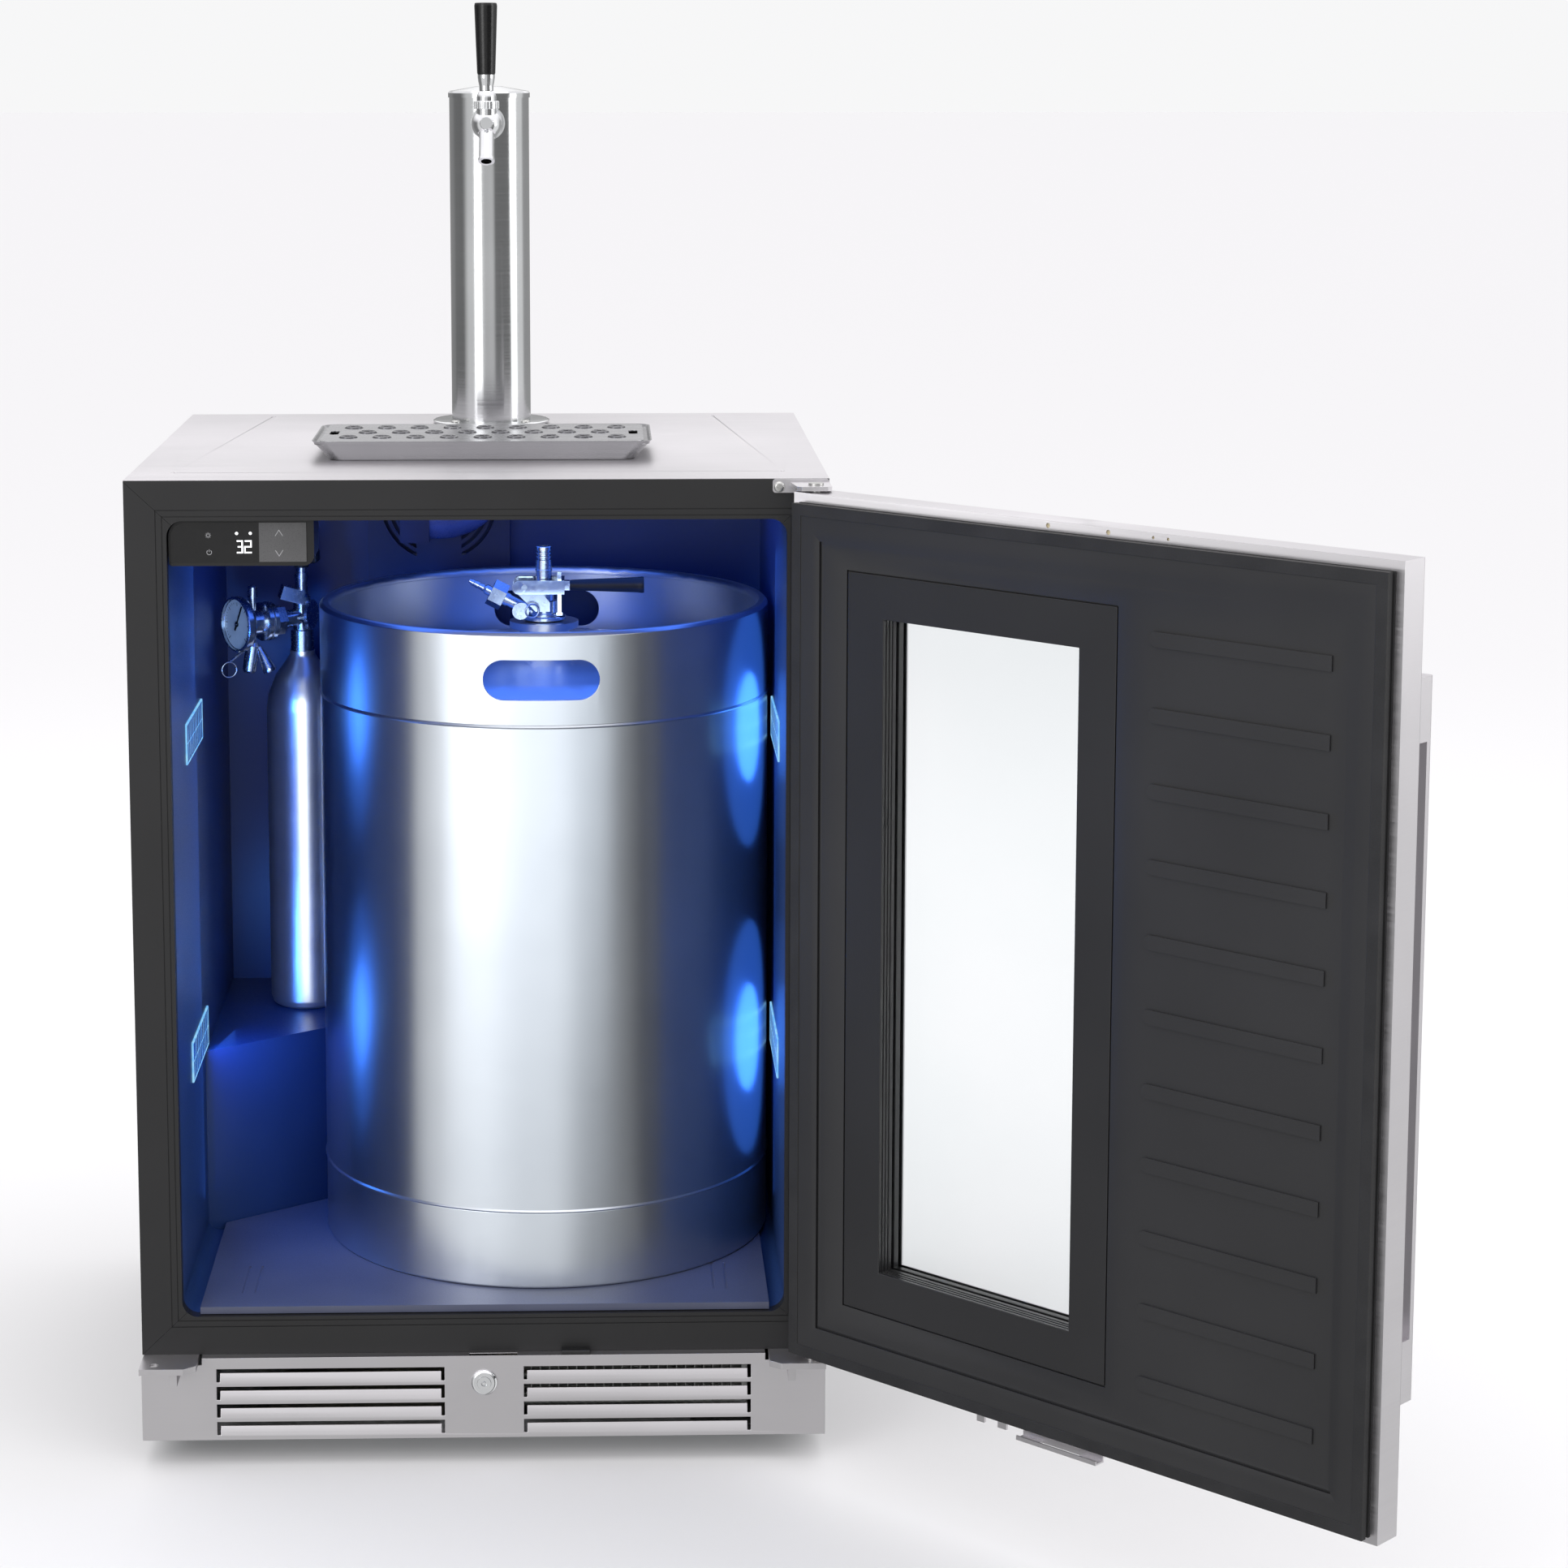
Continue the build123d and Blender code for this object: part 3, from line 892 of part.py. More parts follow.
SPOUT = (0, -math.sin(math.radians(TAP_TILT)), -math.cos(math.radians(TAP_TILT)))
TAP = (0, TAP_Y, TAP_Z)
with BuildPart() as faucet_body:
    lathe([(0, 0), (10.9, 0), (10.9, 34), (16.2, 34), (16.2, 39.5), (0, 39.5)], (0, TAP_Y + 6, TAP_Z), (0, 1, 0))
    rod((0, TOWER_Y - TOWER_R - 4, TAP_Z), (0, 1, 0), 11.1, 44)
    hex_nut((0, TOWER_Y - 30, TAP_Z), (0, 1, 0), 32, 8)
    with Locations((0, TAP_Y + 2, TAP_Z)):
        Sphere(14)
    rod(TAP, SPOUT, 7, 39.5)
    lathe([(7, 36), (7.7, 36.5), (7.7, 39.5), (7, 39.5)], TAP, SPOUT)
    rod((0, TAP_Y, TAP_Z + 6), (0, 0, 1), 9.4, 8)
    lathe([(0, 0), (5.5, 0), (6, 1), (6, 6), (0, 6)], (0, TAP_Y - 15, TAP_Z + 1), (0, 1, 0))
    rod(along(TAP, SPOUT, 8), SPOUT, 5, 40, Mode.SUBTRACT)
    rod((0, TAP_Y + 20, TAP_Z), (0, 1, 0), 4, 80, Mode.SUBTRACT)
finish(faucet_body, "faucet_body")

DOME_R = 9.2
with BuildPart() as faucet_bonnet:
    lathe([(0, TAP_Z + 14), (11.4, TAP_Z + 14), (11.8, TAP_Z + 14.6), (11.8, 1173.8), (11.2, 1174.4), (DOME_R, 1174.4),
           (DOME_R, TAP_PIVOT), (0, TAP_PIVOT)], (0, TAP_Y, 0))
    for n in range(24):
        angle = 2 * math.pi * n / 24
        rod((12.3 * math.cos(angle), TAP_Y + 12.3 * math.sin(angle), TAP_Z + 13), (0, 0, 1), 0.9, 30, Mode.SUBTRACT)
    with Locations((0, TAP_Y, TAP_PIVOT)):
        Sphere(DOME_R)
finish(faucet_bonnet, "faucet_bonnet")

with BuildPart() as tap_lever:
    lathe([(0, 1183), (6.6, 1183), (6.6, 1188), (7.4, 1192), (8.0, 1196), (8.0, 1198.7), (4, 1198.7), (4, 1216),
           (0, 1216)], (0, TAP_Y, 0))
    with Locations((0, TAP_Y, TAP_PIVOT)):
        Sphere(DOME_R + 0.3, mode=Mode.SUBTRACT)
finish(tap_lever, "tap_lever")

with BuildPart() as tap_handle:
    lathe([(4, 1198.7), (8.0, 1198.7), (8.5, 1200), (9.6, 1230), (10.65, 1262), (10.2, 1264.4), (9, 1264.9),
           (0, 1264.9), (0, 1216), (4, 1216)], (0, TAP_Y, 0))
finish(tap_handle, "tap_handle")

TRAY_HALF, TRAY_DEEP = 134.5, 68.0
with BuildPart() as drip_tray:
    with BuildSketch(Plane.XY.offset(TRAY_Z)):
        with Locations((0, TRAY_Y)):
            RectangleRounded(2 * TRAY_HALF, 2 * TRAY_DEEP, 12)
    with BuildSketch(Plane.XY.offset(TRAY_RIM)):
        with Locations((0, TRAY_Y)):
            RectangleRounded(300, 152, 16)
    loft()
    with BuildSketch(Plane.XY.offset(TRAY_Z + 1.2)) as floor_in:
        with Locations((0, TRAY_Y)):
            RectangleRounded(2 * TRAY_HALF - 2.4, 2 * TRAY_DEEP - 2.4, 11)
    with BuildSketch(Plane.XY.offset(TRAY_RIM + 0.1)) as rim_in:
        with Locations((0, TRAY_Y)):
            RectangleRounded(297.4, 149.4, 15)
    loft([floor_in.sketch, rim_in.sketch], mode=Mode.SUBTRACT)
    with BuildSketch(Plane.XY.offset(TRAY_RIM - 3.2)) as ledge:
        with Locations((0, TRAY_Y)):
            RectangleRounded(296, 148, 14)
            RectangleRounded(278, 136, 12, mode=Mode.SUBTRACT)
    extrude(ledge.sketch, amount=1.2)
finish(drip_tray, "drip_tray")

GRATE_TOP = TRAY_RIM + 0.2
GRATE_HOLE = 5.6
with BuildPart() as drip_grate:
    with BuildSketch(Plane.XY.offset(GRATE_TOP - 1.3)):
        with Locations((0, TRAY_Y)):
            RectangleRounded(286, 144, 11)
        for y, count in ((-40, 9), (0, 8), (40, 9)):
            for n in range(count):
                with Locations(((n - (count - 1) / 2) * 29.8, TRAY_Y + y)):
                    Circle(GRATE_HOLE, mode=Mode.SUBTRACT)
        for side in (-1, 1):
            with Locations((side * 134, TRAY_Y)):
                SlotOverall(30, 8, rotation=90, mode=Mode.SUBTRACT)
    extrude(amount=1.3)
finish(drip_grate, "drip_grate")
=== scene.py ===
"""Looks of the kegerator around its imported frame: camera, soft studio, materials and surface detail."""

import math

import bpy
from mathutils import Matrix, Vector


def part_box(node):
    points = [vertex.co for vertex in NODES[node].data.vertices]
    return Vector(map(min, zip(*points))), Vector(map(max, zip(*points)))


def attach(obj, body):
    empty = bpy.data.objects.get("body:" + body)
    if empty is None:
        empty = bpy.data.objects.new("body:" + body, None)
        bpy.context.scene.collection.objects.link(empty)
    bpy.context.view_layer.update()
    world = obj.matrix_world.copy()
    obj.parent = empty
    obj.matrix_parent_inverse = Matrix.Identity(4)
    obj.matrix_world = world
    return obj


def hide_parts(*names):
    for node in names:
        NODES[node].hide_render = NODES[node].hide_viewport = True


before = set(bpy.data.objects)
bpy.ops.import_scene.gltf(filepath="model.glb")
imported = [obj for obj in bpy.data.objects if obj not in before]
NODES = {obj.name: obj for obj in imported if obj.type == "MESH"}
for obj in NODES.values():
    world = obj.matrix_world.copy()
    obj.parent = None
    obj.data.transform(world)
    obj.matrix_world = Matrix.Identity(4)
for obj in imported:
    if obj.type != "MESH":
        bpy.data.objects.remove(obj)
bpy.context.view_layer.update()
MM = 0.001
SHADE_ANGLE = math.radians(38)
HOLE_SIDES = 28
SCREW_SIDES = 20

# metres
FLOOR_HALF = 60.0
FLOOR_Z = -0.0005
WELD_DISTANCE = 0.00001
HALF_LAMP = 0.0185
LENS_GAP = 0.0045
GAUGE_HEIGHT = 0.684
GAUGE_REACH = 0.072

# millimetres
LAMP_HEIGHT = 37
DIAL_RADIUS = 23.6
HOLE_PITCH = 29.8


# ---------------------------------------------------------------- camera and studio
def aim(thing, target):
    """Turn a light so that it shines at a point."""
    thing.rotation_euler = (Vector(target) - thing.location).to_track_quat("-Z", "Y").to_euler()


def make_camera():
    """The photograph's viewpoint."""
    data = bpy.data.cameras.new("camera")
    data.sensor_width = 36.0
    data.lens = 83.08
    data.shift_x = 0.06
    data.shift_y = -0.14
    camera = bpy.data.objects.new("camera", data)
    camera.location = (0.0965, -3.0325, 1.2301)
    camera.rotation_euler = (math.radians(81.76), 0.0, math.radians(-1.569))
    bpy.context.scene.collection.objects.link(camera)
    bpy.context.scene.camera = camera


def area_light(name, place, target, size, power, colour=(1.0, 1.0, 1.0), only=None, shape="RECTANGLE"):
    """A soft area light; with only, it lights just those objects."""
    data = bpy.data.lights.new(name, "AREA")
    data.shape = shape
    data.size, data.size_y = size
    data.energy = power
    data.color = colour
    light = bpy.data.objects.new(name, data)
    light.location = place
    aim(light, target)
    light.visible_camera = False
    bpy.context.scene.collection.objects.link(light)
    if only:
        group = bpy.data.collections.new(name)
        for member in only:
            group.objects.link(member)
        light.light_linking.receiver_collection = group
    return light


def grey(level):
    """The linear value of a 0 to 255 sRGB level."""
    v = level / 255
    return v / 12.92 if v <= 0.04045 else ((v + 0.055) / 1.055) ** 2.4


def rgb(r, g, b):
    """The linear colour of 0 to 255 sRGB levels."""
    return grey(r), grey(g), grey(b), 1.0


def add_node(tree, kind, inputs=None, **settings):
    """A shader node with its settings, constants and links."""
    made = tree.nodes.new(kind)
    for name, value in settings.items():
        setattr(made, name, value)
    for name, value in (inputs or {}).items():
        if isinstance(value, bpy.types.NodeSocket):
            tree.links.new(value, made.inputs[name])
        else:
            made.inputs[name].default_value = value
    return made


def ramp(tree, factor, stops):
    """A colour ramp with (position, colour) stops."""
    made = add_node(tree, "ShaderNodeValToRGB", {"Fac": factor})
    elements = made.color_ramp.elements
    while len(elements) < len(stops):
        elements.new(0.5)
    for element, (place, colour) in zip(elements, stops):
        element.position = place
        element.color = colour
    return made.outputs["Color"]


RING = ((-180, 0.30), (-128, 0.28), (-118, 0.20), (-84, 0.18), (-66, 0.72), (-22, 0.76), (-13, 0.60),
        (9, 0.66), (18, 0.19), (58, 0.19), (66, 0.86), (108, 0.84), (116, 0.4), (180, 0.32))
SKY = (1.16, 1.145, 1.165, 1)


def make_world():
    """Soft surroundings: pale above, bright and dark cards round the sides, and a pale backdrop."""
    world = bpy.data.worlds.new("studio")
    bpy.context.scene.world = world
    world.use_nodes = True
    tree = world.node_tree
    tree.nodes.clear()
    direction = add_node(tree, "ShaderNodeTexCoord").outputs["Generated"]
    axes = add_node(tree, "ShaderNodeSeparateXYZ", {0: direction})
    ahead = add_node(tree, "ShaderNodeMath", {0: axes.outputs["Y"], 1: -1.0}, operation="MULTIPLY")
    turn = add_node(
        tree, "ShaderNodeMath", {0: axes.outputs["X"], 1: ahead.outputs[0]}, operation="ARCTAN2",
    )
    share = add_node(tree, "ShaderNodeMath", {0: turn.outputs[0], 1: 1 / (2 * math.pi), 2: 0.5},
                     operation="MULTIPLY_ADD")
    ring = ramp(tree, share.outputs[0], [(a / 360 + 0.5, (v, v, v, 1)) for a, v in RING])
    height = add_node(
        tree, "ShaderNodeMapRange", {"Value": axes.outputs["Z"], "From Min": 0.12, "From Max": 0.5},
    )
    sky = add_node(tree, "ShaderNodeMix", {0: height.outputs[0], 6: ring, 7: SKY}, data_type="RGBA")
    lit = add_node(tree, "ShaderNodeBackground", {"Color": sky.outputs[2], "Strength": 1.0})
    seen = add_node(tree, "ShaderNodeBackground", {"Color": (0.93, 0.93, 0.935, 1), "Strength": 1.0})
    path = add_node(tree, "ShaderNodeLightPath")
    direct = add_node(tree, "ShaderNodeMath", {0: path.outputs["Is Camera Ray"],
                                               1: path.outputs["Is Transmission Ray"]}, operation="MAXIMUM")
    both = add_node(
        tree, "ShaderNodeMixShader", {0: direct.outputs[0], 1: lit.outputs[0], 2: seen.outputs[0]},
    )
    add_node(tree, "ShaderNodeOutputWorld", {"Surface": both.outputs[0]})


def make_floor():
    """A plain pale floor, a hair under the feet."""
    mesh = bpy.data.meshes.new("floor")
    r = FLOOR_HALF
    mesh.from_pydata(
        [(-r, -r, FLOOR_Z), (r, -r, FLOOR_Z), (r, r, FLOOR_Z), (-r, r, FLOOR_Z)], [],
        [(0, 1, 2, 3)],
    )
    floor = bpy.data.objects.new("floor", mesh)
    bpy.context.scene.collection.objects.link(floor)
    material = bpy.data.materials.new("pale_floor")
    material.use_nodes = True
    shader = material.node_tree.nodes["Principled BSDF"]
    shader.inputs["Base Color"].default_value = (0.86, 0.86, 0.865, 1)
    shader.inputs["Roughness"].default_value = 0.9
    shader.inputs["Specular IOR Level"].default_value = 0.1
    mesh.materials.append(material)
    floor.visible_glossy = False


make_camera()
make_world()
make_floor()
bpy.context.scene.view_settings.view_transform = "Standard"
area_light("key", (-2.2, -2.9, 1.5), (0.0, 0.0, 0.5), (1.6, 2.4), 30)
area_light("fill", (3.4, -0.6, 1.5), (0.3, -0.1, 0.6), (1.4, 2.2), 18)
area_light("overhead", (0.1, -0.4, 3.4), (0.1, 0.1, 0.5), (2.6, 2.6), 16)
area_light("rear", (0.2, 2.8, 2.2), (0.1, 0.2, 0.6), (2.4, 1.6), 6)

LAMP_BLUE = (0.05, 0.24, 1.0)
KEG_BLUE = (0.05, 0.22, 1.0)


def nodes(names):
    """The objects of named CAD nodes."""
    return [NODES[n] for n in names.split()]


KEG_NODES = nodes("keg_shell keg_top_chime keg_bottom_chime")
NOT_KEG = [node for node in NODES.values() if node not in KEG_NODES]


def light_cavity():
    """Blue light from the four lamps, softer on the keg, and a faint glow from the ceiling."""
    low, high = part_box("led_lamps")
    y = (low.y + high.y) / 2
    for side, x in ((-1, low.x), (1, high.x)):
        for level, z in (("low", low.z + HALF_LAMP), ("high", high.z - HALF_LAMP)):
            name = f"lamp_{'left' if side < 0 else 'right'}_{level}"
            inside = x - side * LENS_GAP
            area_light(name, (inside, y, z), (0.0, y + 0.02, z), (0.125, 0.034), 0.90, LAMP_BLUE, NOT_KEG)
            for part, size, power in (("core", (0.05, 0.10), 0.042), ("halo", (0.09, 0.22), 0.020)):
                area_light(
                    f"{name}_{part}", (inside, y, z), (0.0, y + 0.02, z), size, power, KEG_BLUE,
                    KEG_NODES, "ELLIPSE",
                )
    for side in (-1, 1):
        name = f"wall_{'left' if side < 0 else 'right'}"
        area_light(
            name, (side * 0.252, 0.25, 0.47), (0.0, 0.2, 0.47), (0.10, 0.60), 0.20,
            (0.05, 0.19, 1.0), NOT_KEG,
        )
    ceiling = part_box("inner_liner")[1].z - 0.03
    area_light("cavity_top", (0.05, 0.2, ceiling), (0.05, 0.24, 0.0), (0.40, 0.26), 0.5, (0.08, 0.22, 1.0))


light_cavity()


# ---------------------------------------------------------------- materials
def surface(name, dark, light, rough, metal=0.0, grain=(900, 900, 900), broad=9.0, bump=0.05, depth=0.0002,
            spread=0.05, **constants):
    """A finish whose colour drifts broadly, and whose roughness and relief follow a fine grain."""
    material = bpy.data.materials.new(name)
    material.use_nodes = True
    tree = material.node_tree
    shader = tree.nodes["Principled BSDF"]
    place = add_node(tree, "ShaderNodeTexCoord").outputs["Object"]
    drift = add_node(tree, "ShaderNodeTexNoise", {"Vector": place, "Scale": broad, "Detail": 3.0})
    scaled = add_node(tree, "ShaderNodeMapping", {"Vector": place, "Scale": grain})
    fine = add_node(tree, "ShaderNodeTexNoise", {"Vector": scaled.outputs[0], "Scale": 1.0, "Detail": 2.5})
    tree.links.new(
        ramp(tree, drift.outputs["Fac"], [(0.3, dark), (0.7, light)]), shader.inputs["Base Color"],
    )
    ruffle = add_node(
        tree, "ShaderNodeMapRange",
        {"Value": fine.outputs["Fac"], "From Min": 0.3, "From Max": 0.7, "To Min": rough - spread,
         "To Max": rough + spread},
    )
    tree.links.new(ruffle.outputs[0], shader.inputs["Roughness"])
    relief = add_node(
        tree, "ShaderNodeBump",
        {"Height": fine.outputs["Fac"], "Strength": bump, "Distance": depth},
    )
    tree.links.new(relief.outputs[0], shader.inputs["Normal"])
    shader.inputs["Metallic"].default_value = metal
    for socket, value in constants.items():
        shader.inputs[socket.replace("_", " ")].default_value = value
    return material


FLAT_GRAIN = (3, 900, 900)
SHEET = surface(
    "brushed_sheet", (0.66, 0.645, 0.665, 1), (0.74, 0.72, 0.745, 1), 0.36, 1.0, FLAT_GRAIN, 5.0,
    0.10, Anisotropic=0.3,
)
DOOR_SHEET = surface(
    "brushed_door", (0.66, 0.645, 0.665, 1), (0.74, 0.72, 0.745, 1), 0.34, 1.0, (4, 4, 900), 5.0,
    0.10, Anisotropic=0.3,
)
KEG_STEEL = surface(
    "keg_steel", (0.64, 0.68, 0.73, 1), (0.72, 0.76, 0.81, 1), 0.32, 1.0, (90, 90, 700), 6.0, 0.012,
    spread=0.015, Anisotropic=0.5, Anisotropic_Rotation=0.25,
)
TOWER_STEEL = surface(
    "tower_steel", (0.60, 0.61, 0.62, 1), (0.68, 0.69, 0.70, 1), 0.17, 1.0, (5, 5, 700), 8.0, 0.04,
    Anisotropic=0.5, Anisotropic_Rotation=0.25,
)
# Painted shade: the drip tray is a darker copy of the sheet steel, standing in for the shade and dark
# reflection on its downward-facing front wall.
TRAY_STEEL_PAINTED_SHADE = surface(
    "tray_steel_painted_shade", (0.27, 0.27, 0.28, 1), (0.34, 0.34, 0.35, 1), 0.30, 1.0, FLAT_GRAIN, 6.0, 0.08,
    Anisotropic=0.3,
)
GRATE_STEEL = surface(
    "grate_steel", (0.48, 0.48, 0.50, 1), (0.58, 0.58, 0.60, 1), 0.26, 1.0, FLAT_GRAIN, 6.0, 0.06,
    spread=0.03,
)
# Painted shade: the grate's hole lips are much darker than the grate steel, standing in for the shade and
# dark reflection round the drain holes.
LIP_STEEL_PAINTED_SHADE = surface(
    "lip_steel_painted_shade", (0.13, 0.13, 0.14, 1), (0.22, 0.22, 0.23, 1), 0.16, 1.0, (400, 400, 400), 60.0,
    0.04, spread=0.03,
)
CHROME = surface(
    "chrome", (0.80, 0.81, 0.83, 1), (0.88, 0.89, 0.90, 1), 0.12, 1.0, (300, 300, 300), 40.0, 0.02,
    spread=0.03,
)
NICKEL = surface(
    "nickel_brass", (0.52, 0.54, 0.58, 1), (0.66, 0.68, 0.71, 1), 0.24, 1.0, (600, 600, 600), 60.0,
    0.06,
)
CYLINDER = surface(
    "bottle_aluminium", (0.58, 0.60, 0.64, 1), (0.70, 0.72, 0.75, 1), 0.36, 0.95, (5, 5, 500), 20.0,
    0.10, Anisotropic=0.4, Anisotropic_Rotation=0.25,
)
FRAME_BLACK = surface(
    "frame_black", rgb(27, 27, 28), rgb(33, 33, 34), 0.46, 0.0, (1400, 1400, 1400), 6.0, 0.10,
)
LINER_BLACK = surface(
    "door_liner_black", rgb(36, 36, 37), rgb(43, 43, 44), 0.42, 0.0, (1100, 1100, 1100), 5.0, 0.12,
)
BEZEL_BLACK = surface(
    "bezel_black", rgb(34, 34, 35), rgb(40, 40, 41), 0.36, 0.0, (1100, 1100, 1100), 5.0, 0.10,
)
RUBBER = surface("gasket_rubber", rgb(26, 26, 27), rgb(36, 36, 37), 0.62, 0.0, (700, 700, 700), 30.0, 0.18)
CABINET_PAINT = surface(
    "cabinet_paint", rgb(30, 30, 31), rgb(37, 37, 38), 0.40, 0.0, (650, 650, 650), 7.0, 0.35,
    0.0004,
)
# Partly painted light: the liner is a blue-tinted plastic, and its strong blue also stands in for the blue
# lamp light on the walls.
LINER_BLUE_PART_PAINTED_LIGHT = surface("liner_plastic", (0.018, 0.050, 0.17, 1), (0.026, 0.066, 0.22, 1), 0.34, 0.0,
                     (900, 900, 900), 6.0, 0.08)
COVER_BLUE = surface("cover_plastic", (0.024, 0.032, 0.085, 1), (0.034, 0.044, 0.11, 1), 0.40, 0.0,
                     (900, 900, 900), 10.0, 0.10)
FLOOR_PLASTIC = surface("floor_plastic", (0.070, 0.080, 0.135, 1), (0.092, 0.104, 0.165, 1), 0.40, 0.0,
                        (900, 900, 900), 8.0, 0.12)
BLACK_PLASTIC = surface(
    "black_plastic", rgb(26, 26, 27), rgb(36, 36, 37), 0.38, 0.0, (1300, 1300, 1300), 40.0, 0.15,
)
HANDLE_BLACK = surface(
    "handle_black", rgb(10, 10, 11), rgb(17, 17, 18), 0.24, 0.0, (400, 400, 400), 50.0, 0.03,
)
PANEL_DARK = surface(
    "panel_dark", rgb(20, 20, 21), rgb(25, 25, 26), 0.40, 0.0, (1300, 1300, 1300), 20.0, 0.08,
)
SCREEN_BLACK = surface(
    "screen_black", rgb(18, 18, 19), rgb(23, 23, 24), 0.22, 0.0, (300, 300, 300), 30.0, 0.01,
)
ZINC = surface("zinc", (0.50, 0.50, 0.49, 1), (0.64, 0.64, 0.62, 1), 0.34, 1.0, (500, 500, 500), 90.0, 0.12)
GALVANISED = surface(
    "galvanised", (0.42, 0.43, 0.44, 1), (0.60, 0.61, 0.62, 1), 0.44, 1.0, (160, 160, 160), 55.0,
    0.08, spread=0.10,
)
BRACKET = surface(
    "bracket_steel", (0.62, 0.605, 0.625, 1), (0.70, 0.685, 0.705, 1), 0.42, 1.0, (700, 700, 700),
    30.0, 0.10,
)
ENAMEL = surface(
    "compressor_enamel", rgb(16, 16, 17), rgb(26, 26, 27), 0.26, 0.0, (260, 260, 260), 20.0, 0.12,
)
FIN_METAL = surface(
    "coil_metal", (0.50, 0.51, 0.50, 1), (0.66, 0.67, 0.66, 1), 0.36, 1.0, (30, 30, 1200), 40.0,
    0.20,
)
FAN_PLASTIC = surface(
    "fan_plastic", rgb(36, 36, 38), rgb(48, 48, 50), 0.40, 0.0, (900, 900, 900), 40.0, 0.10,
)
# Painted light: the duct is dark plastic, and its bright blue colour stands in for the blue lamp light on
# it.
DUCT_PAINTED_BLUE_LIGHT = surface(
    "duct_plastic", (0.10, 0.13, 0.30, 1), (0.16, 0.20, 0.42, 1), 0.30, 0.0, (700, 700, 700), 40.0,
    0.08,
)
FOAM = surface(
    "rigid_foam", (0.62, 0.53, 0.33, 1), (0.74, 0.66, 0.45, 1), 0.85, 0.0, (380, 380, 380), 30.0,
    0.6, 0.001,
)
NYLON = surface(
    "bush_nylon", (0.66, 0.65, 0.61, 1), (0.76, 0.75, 0.71, 1), 0.40, 0.0, (700, 700, 700), 60.0,
    0.06,
)
NEEDLE = surface("needle_dark", rgb(22, 22, 24), rgb(34, 34, 36), 0.30, 0.6, (900, 900, 900), 90.0, 0.05)
GLASS = surface(
    "window_pane", (0.93, 0.95, 0.95, 1), (0.96, 0.97, 0.97, 1), 0.025, 0.0, (60, 60, 60), 4.0,
    0.004, spread=0.01, Transmission_Weight=1.0, IOR=1.12,
)


def glow(name, dark, light, strength, grain, rough=0.3, unlit=None):
    """A lit surface whose brightness varies with a fine pattern; unlit is its colour when off."""
    material = surface(name, *(unlit or (dark, light)), rough, 0.0, (500, 500, 500), 20.0, 0.05)
    tree = material.node_tree
    shader = tree.nodes["Principled BSDF"]
    place = add_node(tree, "ShaderNodeTexCoord").outputs["Object"]
    spots = add_node(tree, "ShaderNodeTexNoise", {"Vector": place, "Scale": grain, "Detail": 1.0})
    tree.links.new(
        ramp(tree, spots.outputs["Fac"], [(0.35, dark), (0.65, light)]),
        shader.inputs["Emission Color"],
    )
    shader.inputs["Emission Strength"].default_value = strength
    return material


LENS_OFF = ((0.010, 0.022, 0.07, 1), (0.016, 0.034, 0.10, 1))
LAMP_BED = glow("lamp_bed", (0.006, 0.045, 0.30, 1), (0.014, 0.085, 0.46, 1), 0.5, 60.0, unlit=LENS_OFF)
LAMP_RIB = glow("lamp_rib", (0.16, 0.52, 1.0, 1), (0.34, 0.72, 1.0, 1), 0.9, 90.0, unlit=LENS_OFF)
DISPLAY = glow("display_white", (0.86, 0.88, 0.90, 1), (0.96, 0.97, 1.0, 1), 1.1, 300.0)
ICON = glow("icon_grey", (0.22, 0.22, 0.23, 1), (0.32, 0.32, 0.33, 1), 0.5, 300.0)
TOUCH_GREY = surface(
    "touch_grey", rgb(78, 78, 79), rgb(90, 90, 91), 0.30, 0.0, (1200, 1200, 1200), 20.0, 0.04,
)
# Painted light: the dial face's bluish tint stands in for the blue lamp light on it; dial_light lights it
# blue as well.
DIAL = surface(
    "dial_metal_painted_blue_light", (0.56, 0.60, 0.68, 1), (0.66, 0.70, 0.78, 1), 0.34, 0.1, (600, 600, 600), 60.0,
    0.05,
)

FINISH = (
    (SHEET, "top_panel kick_plate lock_strike"),
    (TRAY_STEEL_PAINTED_SHADE, "drip_tray"),
    (GRATE_STEEL, "drip_grate"),
    (DOOR_SHEET, "door_shell door_handle"),
    (KEG_STEEL, "keg_shell keg_bottom_chime keg_top_chime"),
    (TOWER_STEEL, "tower_column tower_cap"),
    (CHROME, "faucet_body faucet_bonnet tap_lever coupler_lever lock_housing lock_cylinder"),
    (NICKEL, "coupler_body coupler_probe coupler_relief co2_valve regulator_body pressure_gauge"),
    (CYLINDER, "co2_bottle"),
    (FRAME_BLACK, "front_frame"),
    (LINER_BLACK, "door_liner"),
    (BEZEL_BLACK, "window_frame"),
    (RUBBER, "door_gasket"),
    (CABINET_PAINT, "side_panels"),
    (LINER_BLUE_PART_PAINTED_LIGHT, "inner_liner"),
    (COVER_BLUE, "evaporator_cover"),
    (FLOOR_PLASTIC, "floor_plate"),
    (BLACK_PLASTIC, "power_inlet levelling_feet door_switch co2_handwheel coupler_grip"),
    (HANDLE_BLACK, "tap_handle"),
    (PANEL_DARK, "control_housing"),
    (SCREEN_BLACK, "control_panel"),
    (ZINC, "cross_screws hinge_pins"),
    (GALVANISED, "rear_panels base_pan"),
    (BRACKET, "hinge_brackets_lower hinge_bracket_upper"),
    (ENAMEL, "compressor"),
    (FIN_METAL, "condenser_coil evaporator_coil"),
    (FAN_PLASTIC, "fan_motors condenser_fan evaporator_fan"),
    (DUCT_PAINTED_BLUE_LIGHT, "tower_air_duct"),
    (FOAM, "foam_insulation door_foam"),
    (NYLON, "door_bushes"),
    (NEEDLE, "gauge_needle"),
    (GLASS, "window_glass"),
    (LAMP_BED, "led_lamps"),
)

